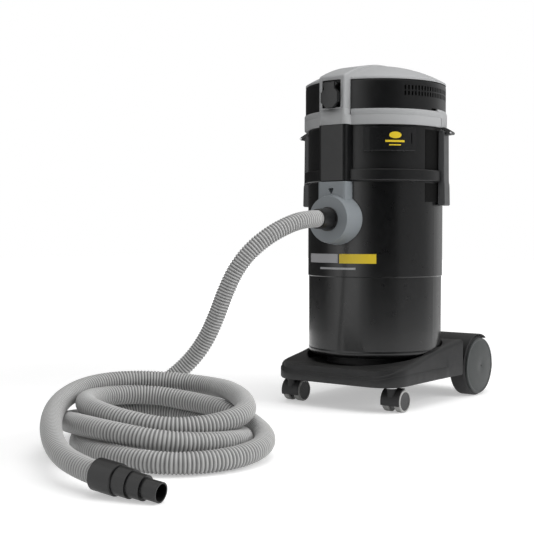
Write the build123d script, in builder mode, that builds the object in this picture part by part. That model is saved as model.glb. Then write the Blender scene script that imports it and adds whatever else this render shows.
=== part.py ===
"""Wet and dry shop vacuum on a wheeled trolley, with its suction hose laid out in front of it.

Millimetres, +Z up, standing on z = 0. The front, with the hose inlet, faces -Y, and +X is the right
hand seen from the front. The origin lies under the middle of the machine without its hose.
"""

from build123d import *
import os
from math import atan2, cos, degrees, pi, radians, sin, sqrt, tan

# Clearances
RUNNING = 0.05  # radial play of a turning fit
GAP = 0.4  # air between pieces that move past each other
SLIP = 0.3  # air round a piece that drops into another

# Tank
TANK_R = 170.0
TANK_WALL = 3.0
TANK_FLOOR = 127.0
TANK_RIM = 548.0
TANK_STEP_Z = 317.0
TANK_STEP = 2.0
TANK_CORNER = 10.0

# Filter chamber on the tank
SEAL_H = 2.0
SEAL_WIDTH = 9.0
CHAMBER_TOP = 684.0
BAND_R = 180.0
BAND_H = 28.0
BAND_EDGE = 3.0
COLUMN_REACH = 200.0
COLUMN_HALF = 40.0
COLUMN_CORNER = 12.0
LEDGE = 8.0
PLATE_H = 8.0
LABEL_START = 35.0
LABEL_END = 77.0
LABEL_BOTTOM = 620.0
LABEL_TOP = 678.0
LABEL_THICK = 6.0
LABEL_SLOT = 4.0

# Filter, cage and float
SUCTION_R = 28.0
CAGE_R = 59.0
CAGE_WALL = 3.0
CAGE_LENGTH = 120.0
CAGE_WINDOWS = 10
CAGE_BAR = 12.0
FLOAT_R = 40.0
FLOAT_H = 34.0
FLOAT_WALL = 2.0
FILTER_R = 92.0
FILTER_PLEATS = 36
PLEAT_DEPTH = 14.0
FILTER_CAP = 5.0

# Latches
LATCH_ANGLE = 103.0
LATCH_TOP = 680.0
LATCH_FOOT = 493.0
LATCH_REACH = 204.0
LATCH_HALF = 21.0
FINGER_HALF = 25.0
FINGER_TOP = 546.0
LATCH_THICK = 11.0
LATCH_PIN_R = 3.0
LATCH_PIN_Z = 671.0
EAR_WIDTH = 6.0
KEEPER_TOP = 541.0
KEEPER_H = 9.0
KEEPER_REACH = 9.0

# Head
RING_R = 179.5
RING_H = 22.5
NECK_R = 172.5
NECK_H = 14.5
HEAD_WALL = 3.0
DECK_PLATE = 4.0
MOTOR_SEAT_R = 76.0
COVER_R = 176.8
COVER_H = 71.0
COVER_FLANGE = 12.0
NOTCH_H = 6.0
NOTCH_ANGLE = 13.0
VENT_WIDTH = 4.7
VENT_H = 11.0
VENT_GAP = 1.0
VENT_TOP = 16.0
VENT_PITCH = 3.1
VENT_START = 69.0
VENT_END = 165.0
CAP_RIM = 5.0
CAP_HEIGHT = 59.0
DOME_DROP = 1.0
SPINE_HALF = 37.0
SPINE_REACH = 199.0
SPINE_BACK = 178.0
SPINE_SHOULDER = 9.0
SPINE_EDGE = 5.0
WINDOW_HALF = 26.4
WINDOW_H = 66.0

# Tool socket and its flap
SOCKET_REACH = 188.0
SOCKET_DEPTH = 24.0
WELL_R = 19.5
WELL_DEPTH = 17.0
CONTACT_R = 2.4
CONTACT_PITCH = 19.0
COLLAR_WIDTH = 2.0
FLAP_HALF = 25.0
FLAP_H = 42.0
FLAP_CUT = 13.0
FLAP_FACE = 210.0
FLAP_THICK = 13.0
FLAP_WALL = 2.5
NECK_HALF = 15.7
FLAP_NECK = 19.0
FLAP_PIN_R = 1.5
FLAP_PIN_DROP = 6.5
LUG_WIDTH = 3.0
LUG_HALF = 4.0
SPRING_WIRE = 0.8
SPRING_TURNS = 4

# Switch and cable gland at the back of the head
SWITCH_BACK = 95.0
SWITCH_HALF_X = 14.0
SWITCH_HALF_Y = 9.0
SWITCH_RIM = 2.5
SWITCH_BODY = 16.0
GLAND_R = 11.0
GLAND_LENGTH = 22.0
GLAND_BORE = 4.2
GLAND_DROP = 36.0

# Motor
SHROUD_R = 72.0
SHROUD_H = 50.0
SHROUD_WALL = 1.6
SHROUD_FLANGE = 12.0
FRAME_R = 52.0
FRAME_H = 54.0
FRAME_BACK = 160.0
FRAME_WALL = 3.0
STATOR_WALL = 20.0
STATOR_H = 38.0
SHAFT_R = 4.0
AIR_GAP = 1.0
SHAFT_END = 14.0
ARMATURE_MARGIN = 6.0
IMPELLER_R = 64.0
IMPELLER_H = 22.0
IMPELLER_PLATE = 1.5
BLADES = 9
BLADE_THICK = 1.5
BLADE_SWEEP = 45.0
EYE_R = 24.0
FAN_R = 44.0
FAN_H = 8.0
FAN_BLADES = 11

# Inlet fitting
INLET_Z = 458.0
INLET_FACE = 213.0
INLET_FACE_R = 57.0
INLET_BASE_R = 64.0
INLET_PLATE_REACH = 200.0
INLET_CORNER = 8.0
GASKET = 2.0
INLET_BORE = 26.2
SPIGOT_WALL = 4.0
SPIGOT_BACK = 148.0
KEYHOLE_Z = 527.0
KEYHOLE_HALF = 11.0
KEYHOLE_DEPTH = 14.0

# Trolley
DECK_BOTTOM = 62.0
DECK_FRONT_TOP = 103.0
DECK_SIDE_TOP = 131.0
DECK_REAR_TOP = 153.0
DECK_REACH = 205.0
DECK_BACK = 150.0
DECK_HALF = 176.0
DECK_REAR_HALF = 168.0
DECK_CORNER = 66.0
DECK_TAPER = 7.0
TROLLEY_WALL = 3.5
RECESS_GAP = 5.0
RECESS_FLOOR = 100.0
PEDESTAL_R = 122.0
PEDESTAL_WALL = 8.0
AXLE_BACK = 222.0
AXLE_R = 6.0
WHEEL_R = 77.5
WHEEL_WIDTH = 45.0
WHEEL_FACE = 181.5
TYRE_DEPTH = 12.0
TYRE_SHOULDER = 7.0
HUB_BOSS_R = 16.0
HUB_WEB = 5.0
CAP_DOME = 9.0
CAP_THICK = 2.5
ARCH_GAP = 3.0
ARCH_WALL = 3.0
CLIP_R = 11.0
CLIP_H = 1.2
SCREW_R = 4.0
SCREW_HEAD_R = 7.5
SCREW_CIRCLE = 90.0
SCREWS = 3

# Casters
CASTER_X = 146.0
CASTER_FORWARD = 158.0
CASTER_TRAIL = 20.0
CASTER_R = 26.5
CASTER_WIDTH = 17.0
CASTER_TREAD = 4.5
CASTER_WEB = 15.0
CASTER_AXLE_R = 4.0
HOOD_WALL = 2.5
HOOD_GAP = 2.0
STEM_R = 5.5
STEM_LENGTH = 34.0
STEM_BOSS_R = 11.0
STEM_DISC_R = 14.0

# Hose
HOSE_R = 20.4
HOSE_BORE = 17.0
CUFF_R = 26.0
CUFF_FLANGE = 3.0
CUFF_NOSE = 23.5
CUFF_LENGTH = 42.0
CUFF_SEAT = 45.0
COIL_CENTRE_X = -28.0
COIL_CENTRE_Y = -815.0
COIL_HALF_X = 262.0
COIL_HALF_Y = 222.0
COIL_BAND = 92.0
COIL_FRONT_H = 92.0
COIL_BACK_H = 122.0
COIL_EDGE = 18.0
ADAPTER_CUFF_R = 27.0
ADAPTER_CUFF_LENGTH = 46.0
ADAPTER_STEPS = ((24.0, 26.0), (21.0, 26.0), (16.8, 30.0))
ADAPTER_WALL = 2.5
ADAPTER_TURN = 8.0

# Places that follow from the sizes above
ARCH_R = WHEEL_R + ARCH_GAP + ARCH_WALL
AXIS_Y = (INLET_FACE - AXLE_BACK - ARCH_R) / 2
CHAMBER_FLOOR = TANK_RIM + SEAL_H
LEDGE_TOP = CHAMBER_TOP - PLATE_H
RING_TOP = CHAMBER_TOP + RING_H
NECK_TOP = RING_TOP + NECK_H
COVER_TOP = NECK_TOP + COVER_H
DOME_BASE = COVER_TOP + CAP_RIM
APEX = COVER_TOP + CAP_HEIGHT
LATCH_ANGLES = {"right": LATCH_ANGLE, "left": LATCH_ANGLE - 180}
SIDES = {"left": -1, "right": 1}

FLOOR = Plane((0, AXIS_Y, 0))
SPINDLE = Axis((0, AXIS_Y, 0), (0, 0, 1))
AXLE_Y = AXIS_Y + AXLE_BACK
AXLE = Axis((0, AXLE_Y, WHEEL_R), (1, 0, 0))
pieces = {}


def outward(angle):
    """Level direction at an angle from the front, counted towards the right hand."""
    return Vector(sin(radians(angle)), -cos(radians(angle)), 0)


def slice_at(angle):
    """Upright plane through the tank's axis: x outward, y up."""
    side = outward(angle + 90)
    return Plane(origin=(0, AXIS_Y, 0), x_dir=outward(angle), z_dir=-side)


def facing(angle, reach=0.0):
    """Upright plane that faces outward at an angle: x sideways, y up."""
    way = outward(angle)
    origin = Vector(0, AXIS_Y, 0) + way * reach
    return Plane(origin=origin, x_dir=outward(angle + 90), z_dir=way)


def arc_radius(half_chord, rise):
    """Radius of the arc that rises by `rise` over a chord of twice `half_chord`."""
    return (half_chord**2 + rise**2) / (2 * rise)


def arc_fall(radius, distance):
    """How far such an arc has fallen at a distance from its middle."""
    return radius - sqrt(radius**2 - distance**2)


SECTION = slice_at(90)  # x is the radius, y the height
PROFILE = slice_at(0)  # x is the reach to the front, y the height
FRONT = facing(0)

# ---------------------------------------------------------------- tank
low_r = TANK_R - TANK_STEP - 0.5
with BuildPart() as tank_shell:
    with BuildSketch(SECTION):
        with BuildLine():
            Polyline(
                (0, TANK_FLOOR),
                (low_r, TANK_FLOOR),
                (TANK_R - TANK_STEP, TANK_STEP_Z),
                (TANK_R, TANK_STEP_Z + TANK_STEP),
                (TANK_R, TANK_RIM),
                (TANK_R - TANK_WALL, TANK_RIM),
                (TANK_R - TANK_WALL, TANK_STEP_Z + TANK_STEP),
                (TANK_R - TANK_STEP - TANK_WALL, TANK_STEP_Z),
                (low_r - TANK_WALL, TANK_FLOOR + TANK_WALL),
                (0, TANK_FLOOR + TANK_WALL),
                close=True,
            )
        make_face()
    revolve(axis=SPINDLE)
    rounds = tank_shell.edges().filter_by(GeomType.CIRCLE)
    fillet(rounds.filter_by_position(Axis.Z, TANK_FLOOR, TANK_FLOOR).sort_by(SortBy.RADIUS)[-1], TANK_CORNER)
    inner_edge = tank_shell.edges().filter_by(GeomType.CIRCLE).filter_by_position(
        Axis.Z, TANK_FLOOR + TANK_WALL, TANK_FLOOR + TANK_WALL
    )
    fillet(inner_edge.sort_by(SortBy.RADIUS)[-1], TANK_CORNER - TANK_WALL)
    with BuildSketch(FRONT.offset(TANK_R / 2)):
        with Locations((0, INLET_Z)):
            Circle(INLET_BORE + SPIGOT_WALL + SLIP)
    extrude(amount=TANK_R, mode=Mode.SUBTRACT)
    screw_holes = PolarLocations(SCREW_CIRCLE, SCREWS, start_angle=90)
    with BuildSketch(FLOOR.offset(TANK_FLOOR - 1)):
        with screw_holes:
            Circle(SCREW_R)
    extrude(amount=TANK_WALL + 2, mode=Mode.SUBTRACT)
    for keeper_angle in LATCH_ANGLES.values():
        with BuildSketch(slice_at(keeper_angle)):
            with BuildLine():
                Polyline(
                    (TANK_R - TANK_WALL / 2, KEEPER_TOP + KEEPER_REACH / 2),
                    (TANK_R + KEEPER_REACH, KEEPER_TOP),
                    (TANK_R + KEEPER_REACH, KEEPER_TOP - KEEPER_H),
                    (TANK_R - TANK_WALL / 2, KEEPER_TOP - KEEPER_H),
                    close=True,
                )
            make_face()
        extrude(amount=LATCH_HALF - EAR_WIDTH, both=True)
pieces["tank_shell"] = tank_shell

with BuildPart() as chamber_seal:
    with BuildSketch(FLOOR.offset(TANK_RIM)):
        Circle(TANK_R)
        Circle(TANK_R - SEAL_WIDTH, mode=Mode.SUBTRACT)
    extrude(amount=SEAL_H)
pieces["chamber_seal"] = chamber_seal

# ---------------------------------------------------------------- hose inlet
with BuildPart() as inlet_gasket:
    with BuildSketch(FRONT.offset(TANK_R / 2)):
        with Locations((0, INLET_Z)):
            Circle(INLET_BASE_R - GASKET)
            Circle(INLET_BORE + SPIGOT_WALL + SLIP, mode=Mode.SUBTRACT)
    extrude(amount=TANK_R)
    with BuildSketch(FLOOR.offset(TANK_FLOOR)):
        Circle(TANK_R)
    extrude(amount=TANK_RIM - TANK_FLOOR, mode=Mode.SUBTRACT)
    with BuildSketch(FLOOR.offset(TANK_FLOOR)):
        Circle(2 * TANK_R)
        Circle(TANK_R + GASKET, mode=Mode.SUBTRACT)
    extrude(amount=TANK_RIM - TANK_FLOOR, mode=Mode.SUBTRACT)
pieces["inlet_gasket"] = inlet_gasket

boss_root = 160.0
with BuildPart() as inlet_fitting:
    with BuildSketch(FLOOR.offset(INLET_Z)) as plate_plan:
        Rectangle(2 * COLUMN_HALF, INLET_PLATE_REACH, align=(Align.CENTER, Align.MAX))
        fillet(plate_plan.vertices().group_by(Axis.Y)[0], INLET_CORNER)
    extrude(amount=TANK_RIM - INLET_Z)
    with BuildSketch(FRONT.offset(boss_root)):
        with Locations((0, INLET_Z)):
            Circle(INLET_BASE_R)
    with BuildSketch(FRONT.offset(INLET_FACE - INLET_CORNER)):
        with Locations((0, INLET_Z)):
            Circle(INLET_FACE_R + 1)
    loft()
    with BuildSketch(FRONT.offset(INLET_FACE - INLET_CORNER)):
        with Locations((0, INLET_Z)):
            Circle(INLET_FACE_R + 1)
    extrude(amount=INLET_CORNER, taper=20)
    with BuildSketch(FLOOR.offset(TANK_FLOOR)):
        Circle(TANK_R + GASKET)
    extrude(amount=TANK_RIM - TANK_FLOOR + 1, mode=Mode.SUBTRACT)
    with BuildSketch(FRONT.offset(SPIGOT_BACK)):
        with Locations((0, INLET_Z)):
            Circle(INLET_BORE + SPIGOT_WALL)
    extrude(amount=INLET_FACE - SPIGOT_BACK - INLET_CORNER)
    with BuildSketch(FRONT.offset(SPIGOT_BACK)):
        with Locations((0, INLET_Z)):
            Circle(INLET_BORE)
    extrude(amount=INLET_FACE - SPIGOT_BACK, mode=Mode.SUBTRACT)
    with BuildSketch(FRONT.offset(INLET_PLATE_REACH)) as keyhole:
        with Locations((0, KEYHOLE_Z)):
            RegularPolygon(KEYHOLE_HALF, 3, rotation=-90)
        fillet(keyhole.vertices(), KEYHOLE_HALF / 4)
    extrude(amount=-KEYHOLE_DEPTH, mode=Mode.SUBTRACT)
pieces["inlet_fitting"] = inlet_fitting

with BuildPart() as inlet_deflector:
    with BuildSketch(slice_at(0)):
        with BuildLine():
            Polyline(
                (SPIGOT_BACK, INLET_Z + INLET_BORE + SPIGOT_WALL + 6),
                (SPIGOT_BACK, INLET_Z + INLET_BORE + SPIGOT_WALL),
                (SPIGOT_BACK - 8, INLET_Z + INLET_BORE + SPIGOT_WALL),
                (SPIGOT_BACK - 52, INLET_Z - 20),
                (SPIGOT_BACK - 52, INLET_Z - INLET_BORE - 12),
                (SPIGOT_BACK - 55, INLET_Z - INLET_BORE - 12),
                (SPIGOT_BACK - 55, INLET_Z - 19),
                (SPIGOT_BACK - 11, INLET_Z + INLET_BORE + SPIGOT_WALL + 6),
                close=True,
            )
        make_face()
    extrude(amount=INLET_BORE + SPIGOT_WALL, both=True)
pieces["inlet_deflector"] = inlet_deflector

# ---------------------------------------------------------------- filter chamber
with BuildPart() as filter_chamber:
    with BuildSketch(FLOOR.offset(CHAMBER_FLOOR)) as column_plan:
        Rectangle(2 * COLUMN_HALF, COLUMN_REACH, align=(Align.CENTER, Align.MAX))
        fillet(column_plan.vertices().group_by(Axis.Y)[0], COLUMN_CORNER)
        Circle(TANK_R)
    extrude(amount=CHAMBER_TOP - CHAMBER_FLOOR)
    with BuildSketch(SECTION):
        Polygon(
            (0, CHAMBER_FLOOR),
            (TANK_R - TANK_WALL - LEDGE, CHAMBER_FLOOR),
            (TANK_R - TANK_WALL - LEDGE, CHAMBER_FLOOR + TANK_WALL),
            (TANK_R - TANK_WALL, CHAMBER_FLOOR + TANK_WALL),
            (TANK_R - TANK_WALL, LEDGE_TOP - LEDGE - TANK_WALL),
            (TANK_R - TANK_WALL - LEDGE, LEDGE_TOP - TANK_WALL),
            (TANK_R - TANK_WALL - LEDGE, LEDGE_TOP),
            (TANK_R - TANK_WALL, LEDGE_TOP),
            (TANK_R - TANK_WALL, CHAMBER_TOP),
            (0, CHAMBER_TOP),
            align=None,
        )
    revolve(axis=SPINDLE, mode=Mode.SUBTRACT)
    with BuildSketch(FLOOR.offset(CHAMBER_FLOOR + TANK_WALL)) as column_void:
        Rectangle(
            2 * (COLUMN_HALF - TANK_WALL), COLUMN_REACH - TANK_WALL, align=(Align.CENTER, Align.MAX)
        )
        fillet(column_void.vertices().group_by(Axis.Y)[0], COLUMN_CORNER - TANK_WALL)
        Circle(TANK_R, mode=Mode.SUBTRACT)
    extrude(amount=CHAMBER_TOP - CHAMBER_FLOOR - 2 * TANK_WALL, mode=Mode.SUBTRACT)
    band_margin = degrees((FINGER_HALF + GAP + 4) / BAND_R)
    with BuildSketch(slice_at(LATCH_ANGLES["left"] + band_margin)) as band_profile:
        Polygon(
            (TANK_R - TANK_WALL / 2, CHAMBER_FLOOR),
            (BAND_R, CHAMBER_FLOOR),
            (BAND_R, CHAMBER_FLOOR + BAND_H),
            (TANK_R - TANK_WALL / 2, CHAMBER_FLOOR + BAND_H),
            align=None,
        )
        fillet(band_profile.vertices().group_by(Axis.X)[-1], BAND_EDGE)
    revolve(axis=SPINDLE, revolution_arc=180 - 2 * band_margin)
pieces["filter_chamber"] = filter_chamber

label_arc = LABEL_END - LABEL_START
with BuildPart() as label_plate:
    with BuildSketch(slice_at(LABEL_START)) as label_profile:
        Polygon(
            (TANK_R, LABEL_BOTTOM),
            (TANK_R + LABEL_THICK, LABEL_BOTTOM + 2),
            (TANK_R + LABEL_THICK, LABEL_TOP),
            (TANK_R, LABEL_TOP),
            align=None,
        )
    revolve(axis=SPINDLE, revolution_arc=label_arc)
    ends = label_plate.edges().filter_by(Axis.Z).sort_by(Axis.X)
    with BuildSketch(slice_at(LABEL_END - LABEL_SLOT)):
        Polygon(
            (TANK_R + LABEL_THICK - 2, LABEL_BOTTOM + 18),
            (TANK_R + LABEL_THICK + 5, LABEL_BOTTOM + 18),
            (TANK_R + LABEL_THICK + 5, LABEL_TOP - 14),
            (TANK_R + LABEL_THICK - 2, LABEL_TOP - 14),
            align=None,
        )
    revolve(axis=SPINDLE, revolution_arc=LABEL_SLOT / 3, mode=Mode.SUBTRACT)
pieces["label_plate"] = label_plate

with BuildPart() as filter_plate:
    with BuildSketch(FLOOR.offset(LEDGE_TOP)):
        Circle(TANK_R - TANK_WALL - SLIP)
        Circle(SUCTION_R, mode=Mode.SUBTRACT)
    extrude(amount=PLATE_H)
pieces["filter_plate"] = filter_plate

cage_bottom = LEDGE_TOP - CAGE_LENGTH
window_h = CAGE_LENGTH - 5 * CAGE_WALL
with BuildPart() as filter_cage:
    with BuildSketch(FLOOR.offset(cage_bottom)):
        Circle(CAGE_R)
    extrude(amount=CAGE_LENGTH)
    with BuildSketch(FLOOR.offset(cage_bottom + CAGE_WALL)):
        Circle(CAGE_R - CAGE_WALL)
    extrude(amount=CAGE_LENGTH, mode=Mode.SUBTRACT)
    with BuildSketch(FLOOR.offset(cage_bottom + 2 * CAGE_WALL)):
        with PolarLocations(CAGE_R - CAGE_WALL / 2, CAGE_WINDOWS):
            Rectangle(3 * CAGE_WALL, 2 * pi * CAGE_R / CAGE_WINDOWS - CAGE_BAR)
    extrude(amount=window_h, mode=Mode.SUBTRACT)
    with BuildSketch(FLOOR.offset(cage_bottom)):
        with PolarLocations(CAGE_R / 2, 6):
            Circle(CAGE_R / 6)
    extrude(amount=CAGE_WALL, mode=Mode.SUBTRACT)
    with BuildSketch(FLOOR.offset(cage_bottom + CAGE_WALL)):
        with PolarLocations((FLOAT_R + GAP + CAGE_R) / 2 - CAGE_WALL / 4, 4, start_angle=45):
            Rectangle(CAGE_R - FLOAT_R - GAP - CAGE_WALL / 2, CAGE_WALL)
    extrude(amount=CAGE_LENGTH - 2 * CAGE_WALL)
pieces["filter_cage"] = filter_cage

with BuildPart() as float_cup:
    with BuildSketch(FLOOR.offset(cage_bottom + CAGE_WALL)):
        Circle(FLOAT_R)
    extrude(amount=FLOAT_H)
    fillet(float_cup.edges().group_by(Axis.Z)[-1], 4)
    with BuildSketch(FLOOR.offset(cage_bottom + CAGE_WALL)):
        Circle(FLOAT_R - FLOAT_WALL)
    extrude(amount=FLOAT_H - FLOAT_WALL, mode=Mode.SUBTRACT)
pieces["float_cup"] = float_cup

filter_bottom = cage_bottom - FILTER_CAP
with BuildPart() as filter_cartridge:
    with BuildSketch(FLOOR.offset(filter_bottom)):
        Circle(FILTER_R)
    extrude(amount=FILTER_CAP)
    with BuildSketch(FLOOR.offset(cage_bottom)):
        with BuildLine():
            pleat_points = [
                Vector(FILTER_R - 1 - PLEAT_DEPTH * (i % 2), 0).rotate(Axis.Z, 180 * i / FILTER_PLEATS)
                for i in range(2 * FILTER_PLEATS)
            ]
            Polyline(*pleat_points, close=True)
        make_face()
        Circle(CAGE_R, mode=Mode.SUBTRACT)
    extrude(amount=CAGE_LENGTH - FILTER_CAP)
    with BuildSketch(FLOOR.offset(LEDGE_TOP - FILTER_CAP)):
        Circle(FILTER_R)
        Circle(CAGE_R, mode=Mode.SUBTRACT)
    extrude(amount=FILTER_CAP)
pieces["filter_cartridge"] = filter_cartridge

# ---------------------------------------------------------------- latches
LEVER_BACK = LATCH_REACH - LATCH_THICK
pin_reach = LATCH_REACH - LATCH_THICK / 2 - 1
nose_z = KEEPER_TOP - KEEPER_H - GAP
with BuildPart() as latch_pins:
    for angle in LATCH_ANGLES.values():
        across = Plane(
            origin=Vector(0, AXIS_Y, LATCH_PIN_Z) + outward(angle) * pin_reach,
            x_dir=outward(angle),
            z_dir=outward(angle + 90),
        )
        with BuildSketch(across):
            Circle(LATCH_PIN_R)
        extrude(amount=LATCH_HALF + GAP + EAR_WIDTH, both=True)
pieces["latch_pins"] = latch_pins

for side, angle in LATCH_ANGLES.items():
    with BuildPart() as lever:
        with BuildSketch(slice_at(angle)) as lever_profile:
            Polygon(
                (LEVER_BACK, LATCH_TOP - 3),
                (LEVER_BACK + 3, LATCH_TOP),
                (LATCH_REACH - 5, LATCH_TOP),
                (LATCH_REACH - 1, LATCH_TOP - 6),
                (LATCH_REACH, FINGER_TOP),
                (LATCH_REACH - 3, FINGER_TOP - 3),
                (LATCH_REACH - 3, nose_z - 12),
                (TANK_R + 2, nose_z - 9),
                (TANK_R + 2, nose_z),
                (TANK_R + KEEPER_REACH + GAP, nose_z),
                (TANK_R + KEEPER_REACH + GAP, KEEPER_TOP),
                (LEVER_BACK, KEEPER_TOP + 14),
                align=None,
            )
        extrude(amount=LATCH_HALF, both=True)
        with BuildSketch(slice_at(angle)):
            Polygon(
                (LEVER_BACK - 4, FINGER_TOP - 3),
                (LATCH_REACH - 2, FINGER_TOP),
                (LATCH_REACH - 1, LATCH_FOOT + 3),
                (LATCH_REACH - 4, LATCH_FOOT),
                (LATCH_REACH - 8, LATCH_FOOT),
                (LATCH_REACH - 8, nose_z - 12),
                (LEVER_BACK - 4, nose_z - 12),
                align=None,
            )
        extrude(amount=FINGER_HALF, both=True)
        with BuildSketch(facing(angle, LATCH_REACH - 3)):
            with Locations((0, (LATCH_FOOT + FINGER_TOP) / 2 - 4)):
                SlotCenterToCenter(14, 12, rotation=90)
        extrude(amount=6, mode=Mode.SUBTRACT)
        across = Plane(
            origin=Vector(0, AXIS_Y, LATCH_PIN_Z) + outward(angle) * pin_reach,
            x_dir=outward(angle),
            z_dir=outward(angle + 90),
        )
        with BuildSketch(across):
            Circle(LATCH_PIN_R + RUNNING)
        extrude(amount=LATCH_HALF + 1, both=True, mode=Mode.SUBTRACT)
    pieces[f"latch_lever_{side}"] = lever

# ---------------------------------------------------------------- head ring
with BuildPart() as head_ring:
    with BuildSketch(FLOOR.offset(CHAMBER_TOP)) as ring_plan:
        Rectangle(2 * (COLUMN_HALF + 1), COLUMN_REACH + 1, align=(Align.CENTER, Align.MAX))
        fillet(ring_plan.vertices().group_by(Axis.Y)[0], COLUMN_CORNER)
        Circle(RING_R)
    extrude(amount=RING_H)
    with BuildSketch(FLOOR.offset(RING_TOP)) as sill_plan:
        Rectangle(2 * SPINE_HALF, SPINE_REACH, align=(Align.CENTER, Align.MAX))
        fillet(sill_plan.vertices().group_by(Axis.Y)[0], SPINE_EDGE)
        Circle(NECK_R)
    extrude(amount=NECK_H)
    with BuildSketch(FLOOR.offset(CHAMBER_TOP + DECK_PLATE)):
        Circle(NECK_R - HEAD_WALL)
    extrude(amount=RING_H + NECK_H, mode=Mode.SUBTRACT)
    with BuildSketch(FLOOR.offset(CHAMBER_TOP)):
        Circle(MOTOR_SEAT_R)
    extrude(amount=DECK_PLATE, mode=Mode.SUBTRACT)
    for angle in LATCH_ANGLES.values():
        with BuildSketch(slice_at(angle - NOTCH_ANGLE)):
            Polygon(
                (NECK_R - 1, RING_TOP - 1),
                (RING_R, RING_TOP - 1),
                (RING_R, NECK_TOP),
                (COVER_R, NECK_TOP + NOTCH_H - GAP),
                (NECK_R - 1, NECK_TOP + NOTCH_H - GAP),
                align=None,
            )
        revolve(axis=SPINDLE, revolution_arc=2 * NOTCH_ANGLE)
        with BuildSketch(facing(angle, NECK_R + 1)) as ears:
            with Locations((0, LATCH_PIN_Z - 9)):
                with Locations((-LATCH_HALF - GAP - EAR_WIDTH / 2, 0), (LATCH_HALF + GAP + EAR_WIDTH / 2, 0)):
                    Rectangle(EAR_WIDTH, RING_TOP - LATCH_PIN_Z + 9, align=(Align.CENTER, Align.MIN))
        extrude(amount=LATCH_REACH - 5 - NECK_R)
        ear_tips = facing(angle, LATCH_REACH)
        across = Plane(
            origin=Vector(0, AXIS_Y, LATCH_PIN_Z) + outward(angle) * pin_reach,
            x_dir=outward(angle),
            z_dir=outward(angle + 90),
        )
        with BuildSketch(across):
            Circle(LATCH_PIN_R)
        extrude(amount=LATCH_HALF + GAP + EAR_WIDTH, both=True, mode=Mode.SUBTRACT)
pieces["head_ring"] = head_ring

# ---------------------------------------------------------------- cover with the exhaust grille
with BuildPart() as head_cover:
    with BuildSketch(SECTION):
        Polygon(
            (COVER_R - COVER_FLANGE, NECK_TOP),
            (COVER_R, NECK_TOP),
            (COVER_R, COVER_TOP),
            (COVER_R - HEAD_WALL, COVER_TOP),
            (COVER_R - HEAD_WALL, NECK_TOP + HEAD_WALL),
            (COVER_R - COVER_FLANGE, NECK_TOP + HEAD_WALL),
            align=None,
        )
    revolve(axis=SPINDLE)
    with BuildSketch(FLOOR.offset(NECK_TOP - 1)):
        Rectangle(2 * (SPINE_HALF + SLIP), SPINE_REACH, align=(Align.CENTER, Align.MAX))
    extrude(amount=COVER_H + 2, mode=Mode.SUBTRACT)
    for angle in LATCH_ANGLES.values():
        with BuildSketch(slice_at(angle - NOTCH_ANGLE - 0.3)):
            Polygon(
                (NECK_R - 2, NECK_TOP - 1),
                (COVER_R + 1, NECK_TOP - 1),
                (COVER_R + 1, NECK_TOP + NOTCH_H),
                (NECK_R - 2, NECK_TOP + NOTCH_H),
                align=None,
            )
        revolve(axis=SPINDLE, revolution_arc=2 * (NOTCH_ANGLE + 0.3), mode=Mode.SUBTRACT)
    columns = int((VENT_END - VENT_START) / VENT_PITCH) + 1
    vent_angles = [VENT_START + VENT_PITCH * i for i in range(columns)]
    for row in range(2):
        top = COVER_TOP - VENT_TOP - row * (VENT_H + VENT_GAP)
        with BuildSketch(FLOOR.offset(top - VENT_H)):
            for angle in vent_angles:
                for side in (angle, -angle):
                    with Locations(Location((0, 0), side - 90)):
                        with Locations((COVER_R - HEAD_WALL / 2, 0)):
                            Rectangle(2 * HEAD_WALL, VENT_WIDTH)
        extrude(amount=VENT_H, mode=Mode.SUBTRACT)
    with BuildSketch(facing(180, COVER_R / 2)):
        with Locations((0, COVER_TOP - GLAND_DROP)):
            Circle(GLAND_R - HEAD_WALL)
    extrude(amount=COVER_R, mode=Mode.SUBTRACT)
pieces["head_cover"] = head_cover

# ---------------------------------------------------------------- top cap
spine_radius = arc_radius(SPINE_REACH, CAP_HEIGHT - SPINE_SHOULDER)
dome_radius = arc_radius(COVER_R, CAP_HEIGHT - CAP_RIM - DOME_DROP)
WINDOW_BOTTOM = NECK_TOP + HEAD_WALL
WINDOW_TOP = WINDOW_BOTTOM + WINDOW_H


def spine_z(reach):
    """Height of the spine's top line at a reach in front of or behind the axis."""
    return APEX - arc_fall(spine_radius, reach)


def dome_z(radius):
    """Height of the dome at a radius from the axis."""
    return APEX - DOME_DROP - arc_fall(dome_radius, radius)


def cap_form(inset):
    """The cap's outer form, or with an inset the hollow inside it."""
    rim = COVER_R - inset
    with BuildPart() as form:
        with BuildSketch(SECTION):
            with BuildLine():
                Polyline((0, dome_z(0) - inset), (0, COVER_TOP), (rim, COVER_TOP), (rim, DOME_BASE - inset))
                ThreePointArc(
                    (rim, DOME_BASE - inset), (rim / 2, dome_z(rim / 2) - inset), (0, dome_z(0) - inset)
                )
            make_face()
        revolve(axis=SPINDLE)
        front = SPINE_REACH - inset
        back = SPINE_BACK - inset
        shoulder = spine_z(SPINE_REACH) - inset
        with BuildSketch(PROFILE) as side:
            with BuildLine():
                Polyline(
                    (-back, spine_z(back) - inset),
                    (-back, COVER_TOP),
                    (FRAME_BACK, COVER_TOP),
                    (FRAME_BACK, NECK_TOP + inset),
                    (front, NECK_TOP + inset),
                    (front, shoulder),
                )
                ThreePointArc((front, shoulder), (0, APEX - inset), (-back, spine_z(back) - inset))
            make_face()
            fillet(side.vertices().sort_by_distance((front, shoulder, 0))[0], SPINE_SHOULDER - inset / 2)
        extrude(amount=SPINE_HALF - inset, both=True)
    return form.part


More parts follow.
